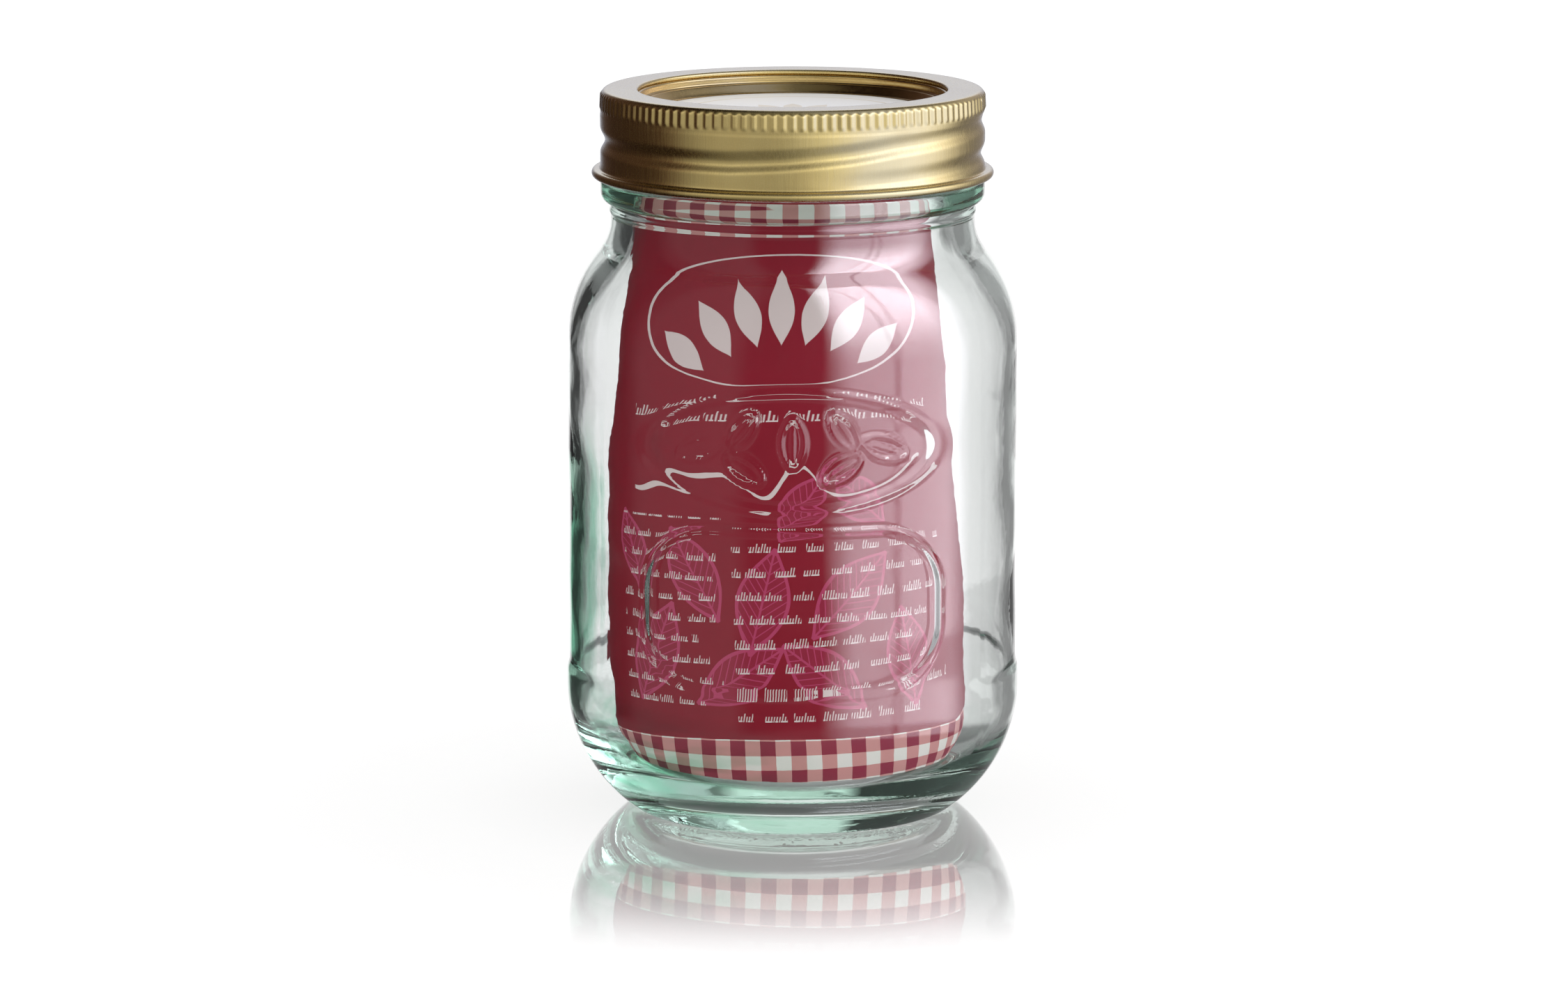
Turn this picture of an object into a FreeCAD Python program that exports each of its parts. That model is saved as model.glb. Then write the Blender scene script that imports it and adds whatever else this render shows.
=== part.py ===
import FreeCAD, Part
import os
import Sketcher

# A clear glass preserving jar of about half a litre with a two-part metal lid: a flat disc with a
# sealing ring under its flange, held down by a screw band. A printed recipe card stands rolled up inside.
# Millimetres. Z is the axis of the jar, the jar stands on z = 0, and the front of the card faces -Y.

doc = FreeCAD.newDocument("preserving_jar")

# ---------------------------------------------------------------- sizes

SIZES = {
    # glass body
    "jar_rim_height": 135.2,
    "body_diameter": 84.8,
    "heel_bulge": 0.5,
    "heel_top": 24.0,
    "heel_side": 2.0,
    "heel_step_radius": 4.6,
    "foot_inset": 14.14,
    "foot_radius": 4.0,
    "foot_flat": 1.2,
    "push_up": 2.6,
    "push_up_radius": 8.0,
    "shoulder_radius": 26.0,
    "neck_radius": 10.0,
    "wall": 3.0,
    "base_thickness": 7.0,
    "inner_heel_radius": 20.0,
    "inner_shoulder_radius": 24.0,
    "inner_neck_radius": 12.0,
    # glass finish, from the neck to the rim
    "neck_diameter": 68.6,
    "finish_wall": 4.3,
    "finish_height": 22.4,
    "bead_proud": 1.9,
    "bead_height": 4.5,
    "bead_over_radius": 0.8,
    "bead_lift": 0.8,
    "ring_height": 1.4,
    "ring_radius": 1.05,
    "ring_lift": 0.8,
    "rim_roundness": 1.4,
    # lid disc and its seal
    "seal_thickness": 0.7,
    "seal_inset": 0.4,
    "seal_clearance": 0.15,
    "disc_clearance": 1.95,
    "disc_sheet": 0.25,
    "disc_lip_clearance": 0.2,
    "recess_clearance": 1.05,
    "recess_step_width": 0.9,
    "recess_step_depth": 1.5,
    "panel_slope_width": 1.3,
    "panel_drop": 1.6,
    # screw band
    "thread_clearance": 1.65,
    "band_sheet": 0.3,
    "hem_setback": 0.4,
    "hem_fold_gap": 0.35,
    "hem_width": 1.6,
    "band_edge_radius": 0.7,
    "knurl_count": 125,
    "knurl_depth": 0.2,
    "knurl_length": 2.7,
    "knurl_root_width": 1.3,
    "knurl_crest_width": 0.5,
    "curl_radius": 0.8,
    "curl_clearance": 0.25,
    # rolled card
    "card_sheet": 0.4,
    "card_wall_gap": 5.7,
    "card_foot_gap": 9.2,
    "card_mouth_gap": 0.45,
    "card_seat_gap": 0.1,
    "card_lid_gap": 8.5,
    "card_lower_height": 15.0,
    "card_belly_height": 46.0,
    "card_lower_shift": 0.65,
    "card_shift": 1.3,
    # the roll's plan, as shares of its half width
    "roll_front_radius": 1.19,
    "roll_side_radius": 0.745,
    "foot_front_centre": 0.33,
    "lower_front_centre": 0.4,
    "upper_front_centre": 0.42,
    # how far each side of the roll runs on behind its widest point, as a share of its radius
    "foot_wrap": 0.92,
    "belly_wrap": 0.88,
    "top_wrap": 0.98,
}

sheet = doc.addObject("Spreadsheet::Sheet", "Sizes")
for row, (alias, number) in enumerate(SIZES.items(), start=1):
    sheet.set(f"A{row}", alias)
    sheet.set(f"B{row}", str(number))
    sheet.setAlias(f"B{row}", alias)
doc.recompute()


def cell(alias):
    """The name by which an expression reads a size from the sheet."""
    return f"Sizes.{alias}"


def evaluate(expression):
    """The number an expression has with the sizes as they stand."""
    result = sheet.evalExpression(expression)
    return float(getattr(result, "Value", result))


# ---------------------------------------------------------------- building helpers

def new_body(label):
    """An empty body whose label names its file."""
    body = doc.addObject("PartDesign::Body", label)
    body.Label = label
    return body


def new_sketch(body, name, role, height=None):
    """A sketch on one of the body's own origin planes, raised to a height if one is given."""
    sketch = body.newObject("Sketcher::SketchObject", name)
    plane = next(item for item in body.Origin.OriginFeatures if item.Role == role)
    sketch.AttachmentSupport = (plane, [""])
    sketch.MapMode = "FlatFace"
    if height is not None:
        sketch.setExpression(".AttachmentOffset.Base.z", height)
    doc.recompute()
    return sketch


class Outline:
    """A closed chain of lines and arcs in a sketch.

    Every corner is placed by two expressions and every arc has its radius as a third, so the
    outline follows the sheet.
    """

    def __init__(self, sketch, across, up):
        self.sketch = sketch
        self.first = (across, up)
        self.last = (across, up)
        self.edges = []

    def line(self, across, up):
        """Draws a straight edge to the next corner."""
        start = self._point(self.last)
        end = self._point((across, up))
        self._add(Part.LineSegment(start, end), 1, 2, (across, up))

    def arc(self, across, up, radius, turn):
        """Draws an arc under a half turn to the next corner; turn is +1 anticlockwise, -1 clockwise."""
        start = self._point(self.last)
        end = self._point((across, up))
        size = evaluate(radius)
        chord = end - start
        rise = max(size * size - chord.Length ** 2 / 4, 0.0) ** 0.5
        side = FreeCAD.Vector(-chord.y, chord.x, 0).normalize()
        middle = (start + end) / 2 - side * (size - rise) * turn
        edge = Part.Arc(start, middle, end)
        # a sketch keeps its arcs anticlockwise, so a clockwise arc starts at its far end
        first, second = (1, 2) if turn > 0 else (2, 1)
        index = self._add(edge, first, second, (across, up))
        radial = self.sketch.addConstraint(Sketcher.Constraint("Radius", index, size))
        self.sketch.setExpression(f"Constraints[{radial}]", radius)

    def close(self):
        """Draws the straight edge back to the first corner and ties the ends together."""
        self.line(*self.first)
        index, _, end = self.edges[-1]
        start_index, start, _ = self.edges[0]
        self.sketch.addConstraint(Sketcher.Constraint("Coincident", index, end, start_index, start))

    def _point(self, corner):
        return FreeCAD.Vector(evaluate(corner[0]), evaluate(corner[1]), 0)

    def _add(self, edge, start, end, corner):
        index = self.sketch.addGeometry(edge, False)
        if self.edges:
            before, _, before_end = self.edges[-1]
            joint = Sketcher.Constraint("Coincident", before, before_end, index, start)
            self.sketch.addConstraint(joint)
        self.edges.append((index, start, end))
        self._place(index, start, self.last)
        self.last = corner
        return index

    def _place(self, index, start, corner):
        for kind, expression in (("DistanceX", corner[0]), ("DistanceY", corner[1])):
            size = evaluate(expression)
            number = self.sketch.addConstraint(Sketcher.Constraint(kind, -1, 1, index, start, size))
            self.sketch.setExpression(f"Constraints[{number}]", expression)


def revolve(body, sketch, kind="PartDesign::Revolution"):
    """Turns a sketch round the Z axis, as new material or as a groove in what is there."""
    feature = body.newObject(kind, f"{sketch.Name}_turned")
    feature.Profile = sketch
    feature.ReferenceAxis = (sketch, ["V_Axis"])
    feature.Angle = 360
    sketch.Visibility = False
    doc.recompute()
    return feature


def half(alias):
    """Half of a diameter in the sheet, as an expression."""
    return f"{cell(alias)} / 2"


def curve_rise(step, upper, lower):
    """Height of an S-curve of two tangent arcs that steps sideways by a given amount."""
    total = f"({upper} + {lower})"
    return f"sqrt({total} * {total} - ({total} - ({step})) * ({total} - ({step})))"


# ---------------------------------------------------------------- glass jar

jar_top = cell("jar_rim_height")
neck_start = f"({jar_top} - {cell('finish_height')})"
ring_bottom = f"({neck_start} + {cell('ring_lift')})"
ring_top = f"({ring_bottom} + {cell('ring_height')})"
bead_bottom = f"({ring_top} + {cell('bead_lift')})"
bead_top = f"({bead_bottom} + {cell('bead_height')})"
rim_shoulder = f"({jar_top} - {cell('rim_roundness')})"

body_radius = half("body_diameter")
heel_radius = f"({body_radius} + {cell('heel_bulge')})"
cavity_radius = f"({body_radius} - {cell('wall')})"
neck_outer = half("neck_diameter")
mouth_radius = f"({neck_outer} - {cell('finish_wall')})"


def shoulder_points(wide, narrow, convex, concave, neck_height):
    """The foot and the turning point of the S-curve from the body to the neck."""
    step = f"({wide} - {narrow})"
    foot = f"({neck_height} - {curve_rise(step, convex, concave)})"
    share = f"({convex} / ({convex} + {concave}))"
    turn_across = f"({wide} - {step} * {share})"
    turn_up = f"({foot} + ({neck_height} - {foot}) * {share})"
    return foot, turn_across, turn_up


def heel_curve():
    """The heel's large arc and the foot arc under it: the heel's radius, and where the two meet.

    The foot arc touches the floor, and the heel arc round it from the inside, so the heel's radius
    follows from its height and from how far the foot stands in from the side.
    """
    inset, foot = cell("foot_inset"), cell("foot_radius")
    drop = f"({cell('heel_top')} - {foot})"
    radius = f"(({inset} * {inset} + {drop} * {drop} - {foot} * {foot}) / (2 * ({inset} - {foot})))"
    stretch = f"({radius} / ({radius} - {foot}))"
    meet_across = f"({heel_radius} - {radius} + ({radius} - {inset}) * {stretch})"
    meet_up = f"({cell('heel_top')} - {drop} * {stretch})"
    return radius, meet_across, meet_up


def build_jar():
    """The glass: a turned outside with heel, shoulder, neck and bead, and the hollow cut out of it."""
    body = new_body("glass_jar")
    outside = new_sketch(body, "jar_outside", "XZ_Plane")

    foot_across = f"({heel_radius} - {cell('foot_inset')})"
    flat_inner = f"({foot_across} - {cell('foot_flat')})"
    push_up = cell("push_up")
    push_up_run = f"sqrt(2 * {cell('push_up_radius')} * {push_up} - {push_up} * {push_up})"
    heel_arc, meet_across, meet_up = heel_curve()
    heel_step = cell("heel_step_radius")
    step_foot = f"({cell('heel_top')} + {cell('heel_side')})"
    panel_start = f"({step_foot} + {curve_rise(cell('heel_bulge'), heel_step, heel_step)})"
    step_across = f"({body_radius} + {cell('heel_bulge')} / 2)"
    step_up = f"(({step_foot} + {panel_start}) / 2)"
    foot, turn_across, turn_up = shoulder_points(
        body_radius, neck_outer, cell("shoulder_radius"), cell("neck_radius"), neck_start)
    bead_proud = cell("bead_proud")
    bead_radius = f"({neck_outer} + {bead_proud})"
    bead_over = cell("bead_over_radius")
    rim_side = f"({neck_outer} - {cell('rim_roundness')})"

    line = Outline(outside, "0", push_up)
    line.line(f"({flat_inner} - {push_up_run})", push_up)
    line.arc(flat_inner, "0", cell("push_up_radius"), -1)
    line.line(foot_across, "0")
    line.arc(meet_across, meet_up, cell("foot_radius"), 1)
    line.arc(heel_radius, cell("heel_top"), heel_arc, 1)
    line.line(heel_radius, step_foot)
    line.arc(step_across, step_up, heel_step, 1)
    line.arc(body_radius, panel_start, heel_step, -1)
    line.line(body_radius, foot)
    line.arc(turn_across, turn_up, cell("shoulder_radius"), 1)
    line.arc(neck_outer, neck_start, cell("neck_radius"), -1)
    line.line(neck_outer, ring_bottom)
    line.arc(neck_outer, ring_top, cell("ring_radius"), 1)
    line.line(neck_outer, bead_bottom)
    line.arc(bead_radius, f"({bead_bottom} + {bead_proud})", bead_proud, 1)
    line.line(bead_radius, f"({bead_top} - {bead_over})")
    line.arc(f"({bead_radius} - {bead_over})", bead_top, bead_over, 1)
    line.line(neck_outer, bead_top)
    line.line(neck_outer, rim_shoulder)
    line.arc(rim_side, jar_top, cell("rim_roundness"), 1)
    line.line("0", jar_top)
    line.close()
    solid = revolve(body, outside)

    hollow = new_sketch(body, "jar_hollow", "XZ_Plane")
    floor = cell("base_thickness")
    inner_heel = cell("inner_heel_radius")
    foot, turn_across, turn_up = shoulder_points(
        cavity_radius, mouth_radius, cell("inner_shoulder_radius"), cell("inner_neck_radius"), neck_start)
    line = Outline(hollow, "0", floor)
    line.line(f"({cavity_radius} - {inner_heel})", floor)
    line.arc(cavity_radius, f"({floor} + {inner_heel})", inner_heel, 1)
    line.line(cavity_radius, foot)
    line.arc(turn_across, turn_up, cell("inner_shoulder_radius"), 1)
    line.arc(mouth_radius, neck_start, cell("inner_neck_radius"), -1)
    line.line(mouth_radius, rim_shoulder)
    line.arc(f"({mouth_radius} + {cell('rim_roundness')})", jar_top, cell("rim_roundness"), -1)
    line.line("0", jar_top)
    line.close()
    before = solid.Shape.Volume
    groove = revolve(body, hollow, "PartDesign::Groove")
    print("glass removed by the hollow, mm3:", round(before - groove.Shape.Volume))
    return body


# ---------------------------------------------------------------- lid disc and seal

flange_under = f"({jar_top} + {cell('seal_thickness')})"
flange_top = f"({flange_under} + {cell('disc_sheet')})"
step_level = f"({flange_top} - {cell('recess_step_depth')})"
panel_level = f"({step_level} - {cell('panel_drop')})"
panel_under = f"({panel_level} - {cell('disc_sheet')})"

band_inner = f"({neck_outer} + {cell('thread_clearance')})"
disc_radius = f"({band_inner} - {cell('disc_clearance')})"
recess_radius = f"({mouth_radius} - {cell('recess_clearance')} - {cell('disc_sheet')})"


def build_seal():
    """The soft ring under the disc's flange, which lies on the glass rim."""
    body = new_body("seal_ring")
    sketch = new_sketch(body, "seal_section", "XZ_Plane")
    outer = f"({disc_radius} - {cell('disc_sheet')} - {cell('seal_clearance')})"
    inner = f"({mouth_radius} + {cell('seal_inset')})"
    line = Outline(sketch, inner, jar_top)
    line.line(outer, jar_top)
    line.line(outer, flange_under)
    line.line(inner, flange_under)
    line.close()
    revolve(body, sketch)
    return body


def build_disc():
    """The pressed disc: a flange with a turned-down lip, a stepped recess and a flat centre panel."""
    body = new_body("lid_disc")
    sketch = new_sketch(body, "disc_section", "XZ_Plane")
    gauge = cell("disc_sheet")
    recess_step = f"({recess_radius} - {cell('recess_step_width')})"
    panel_edge = f"({recess_step} - {cell('panel_slope_width')})"
    lip_bottom = f"({jar_top} + {cell('disc_lip_clearance')})"
    line = Outline(sketch, "0", panel_level)
    line.line("0", panel_under)
    line.line(f"({panel_edge} + {gauge})", panel_under)
    line.line(f"({recess_step} + {gauge})", f"({step_level} - {gauge})")
    line.line(f"({recess_radius} + {gauge})", f"({step_level} - {gauge})")
    line.line(f"({recess_radius} + {gauge})", flange_under)
    line.line(f"({disc_radius} - {gauge})", flange_under)
    line.line(f"({disc_radius} - {gauge})", lip_bottom)
    line.line(disc_radius, lip_bottom)
    line.line(disc_radius, flange_top)
    line.line(recess_radius, flange_top)
    line.line(recess_radius, step_level)
    line.line(recess_step, step_level)
    line.line(panel_edge, panel_level)
    line.close()
    revolve(body, sketch)
    return body


# ---------------------------------------------------------------- screw band

hem_thickness = f"(2 * {cell('band_sheet')} + {cell('hem_fold_gap')})"
band_top = f"({flange_top} + {hem_thickness})"
band_edge = f"({cell('band_edge_radius')} + {cell('band_sheet')})"
band_outer = f"({band_inner} + {cell('band_sheet')})"
knurl_root = f"({band_outer} - {cell('knurl_depth')})"
knurl_top = f"({band_top} - {band_edge})"
knurl_bottom = f"({knurl_top} - {cell('knurl_length')})"


def build_band():
    """The screw band: a hemmed top ring, a round edge, a knurled zone, a skirt and a rolled curl."""
    body = new_body("screw_band")
    sketch = new_sketch(body, "band_section", "XZ_Plane")
    gauge = cell("band_sheet")
    depth = cell("knurl_depth")
    root_inner = f"({knurl_root} - {gauge})"
    opening = f"({recess_radius} + {cell('hem_setback')})"
    nose = f"({hem_thickness} / 2)"
    curl = cell("curl_radius")
    curl_bottom = f"({bead_top} + {cell('curl_clearance')})"
    curl_top = f"({curl_bottom} + 2 * {curl})"
    line = Outline(sketch, f"({opening} + {nose})", band_top)
    line.arc(opening, f"({band_top} - {nose})", nose, 1)
    line.arc(f"({opening} + {nose})", flange_top, nose, 1)
    line.line(f"({opening} + {cell('hem_width')})", flange_top)
    line.line(f"({opening} + {cell('hem_width')})", f"({band_top} - {gauge})")
    line.line(f"({knurl_root} - {band_edge})", f"({band_top} - {gauge})")
    line.arc(root_inner, knurl_top, cell("band_edge_radius"), -1)
    line.line(root_inner, knurl_bottom)
    line.line(band_inner, f"({knurl_bottom} - {depth})")
    line.line(band_inner, curl_bottom)
    line.line(f"({band_outer} + {curl})", curl_bottom)
    line.arc(f"({band_outer} + 2 * {curl})", f"({curl_bottom} + {curl})", curl, 1)
    line.arc(f"({band_outer} + {curl})", curl_top, curl, 1)
    line.line(band_outer, curl_top)
    line.line(band_outer, f"({knurl_bottom} - {depth})")
    line.line(knurl_root, knurl_bottom)
    line.line(knurl_root, knurl_top)
    line.arc(f"({knurl_root} - {band_edge})", band_top, band_edge, 1)
    line.close()
    revolve(body, sketch)
    add_knurl(body)
    return body


def add_knurl(body):
    """The ribs round the band's upper edge: one rib, repeated round the axis."""
    sketch = new_sketch(body, "knurl_rib", "XY_Plane", f"({knurl_bottom} - {cell('knurl_depth')} / 2)")
    seat = f"({knurl_root} - {cell('knurl_depth')} / 2)"
    root = f"({cell('knurl_root_width')} / 2)"
    crest = f"({cell('knurl_crest_width')} / 2)"
    line = Outline(sketch, seat, f"({root} * -1)")
    line.line(band_outer, f"({crest} * -1)")
    line.line(band_outer, crest)
    line.line(seat, root)
    line.close()
    rib = body.newObject("PartDesign::Pad", "knurl_rib_pad")
    rib.Profile = sketch
    rib.setExpression("Length", cell("knurl_length"))
    sketch.Visibility = False
    doc.recompute()
    ribs = body.newObject("PartDesign::PolarPattern", "knurl_ribs")
    ribs.Originals = [rib]
    ribs.Axis = (sketch, ["N_Axis"])
    ribs.Angle = 360
    ribs.setExpression("Occurrences", cell("knurl_count"))
    body.Tip = ribs
    doc.recompute()


# ---------------------------------------------------------------- recipe card

def card_section(body, name, half_width, height, wrap, shift, front_centre):
    """A flattened C that is open at the back: one front arc and two tighter side arcs.

    wrap is how far each side arc runs on behind the widest point, as a share of its radius.
    shift moves the section to the left, and front_centre is the front arc's centre behind the
    axis as a share of the half width.
    """
    sketch = new_sketch(body, name, "XY_Plane", height)
    gauge = cell("card_sheet")
    front_radius = f"({half_width} * {cell('roll_front_radius')})"
    side_radius = f"({half_width} * {cell('roll_side_radius')})"
    side_across = f"({half_width} - {side_radius})"
    sine = f"({side_across} / ({front_radius} - {side_radius}))"
    cosine = f"sqrt(1 - {sine} * {sine})"
    front_up = f"({half_width} * {front_centre})"
    side_up = f"({front_up} - ({front_radius} - {side_radius}) * {cosine})"
    back = f"sqrt(1 - {wrap} * {wrap})"

    def on_side(direction, radius, across_share, up_share):
        across = f"({direction} * ({side_across} + {radius} * {across_share}) - {shift})"
        return across, f"({side_up} + {radius} * {up_share})"

    inner_front = f"({front_radius} - {gauge})"
    inner_side = f"({side_radius} - {gauge})"
    down = f"({cosine} * -1)"
    line = Outline(sketch, *on_side(-1, side_radius, back, wrap))
    line.arc(*on_side(-1, side_radius, sine, down), side_radius, 1)
    line.arc(*on_side(1, side_radius, sine, down), front_radius, 1)
    line.arc(*on_side(1, side_radius, back, wrap), side_radius, 1)
    line.line(*on_side(1, inner_side, back, wrap))
    line.arc(*on_side(1, inner_side, sine, down), inner_side, -1)
    line.arc(*on_side(-1, inner_side, sine, down), inner_front, -1)
    line.arc(*on_side(-1, inner_side, back, wrap), inner_side, -1)
    line.close()
    return sketch


def build_card():
    """The card: C sections, narrow at the foot and in the mouth, joined in one smooth sheet."""
    body = new_body("recipe_card")
    inner_heel = cell("inner_heel_radius")
    foot_width = f"({cavity_radius} - {cell('card_foot_gap')})"
    belly_width = f"({cavity_radius} - {cell('card_wall_gap')})"
    neck_width = f"({mouth_radius} - {cell('card_shift')} - {cell('card_mouth_gap')})"
    foot_reach = f"({foot_width} - ({cavity_radius} - {inner_heel}))"
    seat = (f"({cell('base_thickness')} + {inner_heel} + {cell('card_seat_gap')}"
            f" - sqrt({inner_heel} * {inner_heel} - {foot_reach} * {foot_reach}))")
    lower_level = f"({seat} + {cell('card_lower_height')})"
    belly_level = f"({seat} + {cell('card_belly_height')})"
    top_level = f"({panel_under} - {cell('card_lid_gap')})"
    shift = cell("card_shift")
    sections = [
        card_section(body, "card_foot", foot_width, seat, cell("foot_wrap"), "0",
                     cell("foot_front_centre")),
        card_section(body, "card_lower", belly_width, lower_level, cell("belly_wrap"),
                     cell("card_lower_shift"), cell("lower_front_centre")),
        card_section(body, "card_belly", belly_width, belly_level, cell("belly_wrap"), shift,
                     cell("upper_front_centre")),
        card_section(body, "card_neck", neck_width, neck_start, cell("top_wrap"), shift,
                     cell("upper_front_centre")),
        card_section(body, "card_top", neck_width, top_level, cell("top_wrap"), shift,
                     cell("upper_front_centre")),
    ]
    loft = body.newObject("PartDesign::AdditiveLoft", "card_sheet_loft")
    loft.Profile = sections[0]
    loft.Sections = sections[1:]
    loft.Ruled = False
    doc.recompute()
    return body


# ---------------------------------------------------------------- check and export

def faults():
    """Names of objects that failed to build."""
    return [item.Name for item in doc.Objects if {"Invalid", "Error"} & set(item.State)]


bodies = [build_jar(), build_seal(), build_disc(), build_band(), build_card()]
doc.recompute()

failed = faults()
if failed:
    raise RuntimeError(f"these objects did not build: {failed}")

os.makedirs("parts", exist_ok=True)
for body in bodies:
    shape = body.Shape
    if shape.isNull() or not shape.isValid() or len(shape.Solids) != 1:
        raise RuntimeError(f"{body.Label} is not one valid solid")
    shape.exportStep(f"parts/{body.Label}.step")
    box = shape.BoundBox
    print(body.Label, "mm3", round(shape.Volume, 1), "z", round(box.ZMin, 3), round(box.ZMax, 3),
          "x", round(box.XMin, 3), round(box.XMax, 3), "y", round(box.YMin, 3), round(box.YMax, 3))
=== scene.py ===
"""A preserving jar: clear glass, a two-part gold lid and a rolled recipe card, on a pale floor.

Lengths in the classes are millimetres; meshes are in metres. The jar's axis is Z, it stands on z = 0
and the front of the card faces -Y. A bearing is an angle round the axis, measured from the front
towards +X.
"""

from __future__ import annotations

import logging
import math
from collections.abc import Callable, Sequence
from dataclasses import dataclass, field
from enum import Enum

import bpy
import numpy as np
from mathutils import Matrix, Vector


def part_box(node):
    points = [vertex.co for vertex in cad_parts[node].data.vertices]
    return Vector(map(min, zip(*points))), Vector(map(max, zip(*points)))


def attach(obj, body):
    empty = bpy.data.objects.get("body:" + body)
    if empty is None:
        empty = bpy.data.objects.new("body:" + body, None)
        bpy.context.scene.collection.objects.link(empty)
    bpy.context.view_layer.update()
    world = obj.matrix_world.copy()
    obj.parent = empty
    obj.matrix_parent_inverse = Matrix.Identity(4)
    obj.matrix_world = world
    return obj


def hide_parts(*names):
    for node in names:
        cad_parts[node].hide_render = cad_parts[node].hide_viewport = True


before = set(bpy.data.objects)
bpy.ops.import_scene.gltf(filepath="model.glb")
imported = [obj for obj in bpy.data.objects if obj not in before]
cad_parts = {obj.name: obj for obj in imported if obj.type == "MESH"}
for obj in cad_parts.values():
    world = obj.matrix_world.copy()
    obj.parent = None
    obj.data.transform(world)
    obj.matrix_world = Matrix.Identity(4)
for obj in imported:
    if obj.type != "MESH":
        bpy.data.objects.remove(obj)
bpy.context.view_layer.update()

MM = 0.001
FULL_TURN = 2.0 * math.pi
BODY = "root"

log = logging.getLogger("preserving_jar")

Corner = tuple[float, float]
Colour = tuple[float, float, float]


def paint(red: int, green: int, blue: int) -> Colour:
    """The linear colour of a paint given as 0 to 255."""

    def linear(level: int) -> float:
        """One channel's level, made linear."""
        share = level / 255.0
        return share / 12.92 if share <= 0.04045 else ((share + 0.055) / 1.055) ** 2.4

    return linear(red), linear(green), linear(blue)


def node_size(node: str) -> tuple[float, float, float]:
    """The lowest point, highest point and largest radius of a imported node.

    Args:
        node: The node's name.

    Returns:
        Bottom, top and radius in millimetres.
    """
    low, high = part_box(node)
    return low.z / MM, high.z / MM, high.x / MM


# ------------------------------------------------------------------ drawing and turning


@dataclass
class Section:
    """A drawn line of corners, each (distance from the axis, height)."""

    corners: list[Corner]

    def line(self, across: float, up: float, rows: int = 1) -> "Section":
        """Runs straight to a corner.

        Args:
            across: The corner's distance from the axis.
            up: The corner's height.
            rows: How many equal steps the run is drawn in.

        Returns:
            The section itself.
        """
        first = self.corners[-1]
        for step in range(1, rows + 1):
            share = step / rows
            self.corners.append(
                (first[0] + (across - first[0]) * share, first[1] + (up - first[1]) * share)
            )
        return self

    def arc(self, across: float, up: float, radius: float, turn: int, rows: int) -> "Section":
        """Runs along an arc of under half a turn to a corner.

        Args:
            across: The corner's distance from the axis.
            up: The corner's height.
            radius: The arc's radius.
            turn: 1 for anticlockwise, -1 for clockwise.
            rows: How many steps the arc is drawn in.

        Returns:
            The section itself.
        """
        first = self.corners[-1]
        run, rise = across - first[0], up - first[1]
        chord = math.hypot(run, rise)
        depth = math.sqrt(max(radius * radius - chord * chord / 4.0, 0.0)) * turn
        centre = (
            (first[0] + across) / 2.0 - rise / chord * depth,
            (first[1] + up) / 2.0 + run / chord * depth,
        )
        begin = math.atan2(first[1] - centre[1], first[0] - centre[0])
        sweep = 2.0 * math.asin(min(chord / (2.0 * radius), 1.0)) * turn
        for step in range(1, rows + 1):
            angle = begin + sweep * step / rows
            self.corners.append(
                (centre[0] + radius * math.cos(angle), centre[1] + radius * math.sin(angle))
            )
        self.corners[-1] = (across, up)
        return self


@dataclass(frozen=True)
class Sector:
    """A part of a turn: its degrees, its wedges, and the steps each wedge is spun in."""

    degrees: float
    wedges: int
    steps: int


def lay_down_tools() -> None:
    """Leaves edit mode and deselects everything."""
    if bpy.context.object is not None and bpy.context.object.mode != "OBJECT":
        bpy.ops.object.mode_set(mode="OBJECT")
    bpy.ops.object.select_all(action="DESELECT")


def pick_up(piece: bpy.types.Object) -> None:
    """Makes one piece the only selected and active one."""
    lay_down_tools()
    piece.select_set(True)
    bpy.context.view_layer.objects.active = piece


def place_at(corner: Corner, bearing: float) -> Vector:
    """Where a section's corner lies, in metres, when the section stands at a bearing."""
    across, up = corner
    return Vector((across * math.sin(bearing), -across * math.cos(bearing), up)) * MM


def draw_section(name: str, section: Section, bearing: float) -> bpy.types.Object:
    """Draws a section as a chain of edges, extruded corner by corner.

    Each corner's number is kept in the point attribute "row", which the spin copies.

    Args:
        name: The piece's name.
        section: The line to draw.
        bearing: The bearing at which it stands.

    Returns:
        The piece, in object mode.
    """
    lay_down_tools()
    bpy.ops.mesh.primitive_circle_add(vertices=3, radius=MM)
    piece = bpy.context.object
    piece.name = piece.data.name = name
    bpy.ops.object.mode_set(mode="EDIT")
    bpy.ops.mesh.select_mode(type="VERT")
    bpy.ops.mesh.select_all(action="SELECT")
    bpy.ops.mesh.merge(type="CENTER")
    here = place_at(section.corners[0], bearing)
    bpy.ops.transform.translate(value=here)
    for corner in section.corners[1:]:
        there = place_at(corner, bearing)
        bpy.ops.mesh.extrude_region_move(TRANSFORM_OT_translate={"value": there - here})
        here = there
    bpy.ops.object.mode_set(mode="OBJECT")
    rows = piece.data.attributes.new(name="row", type="INT", domain="POINT")
    rows.data.foreach_set("value", list(range(len(section.corners))))
    return piece


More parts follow.
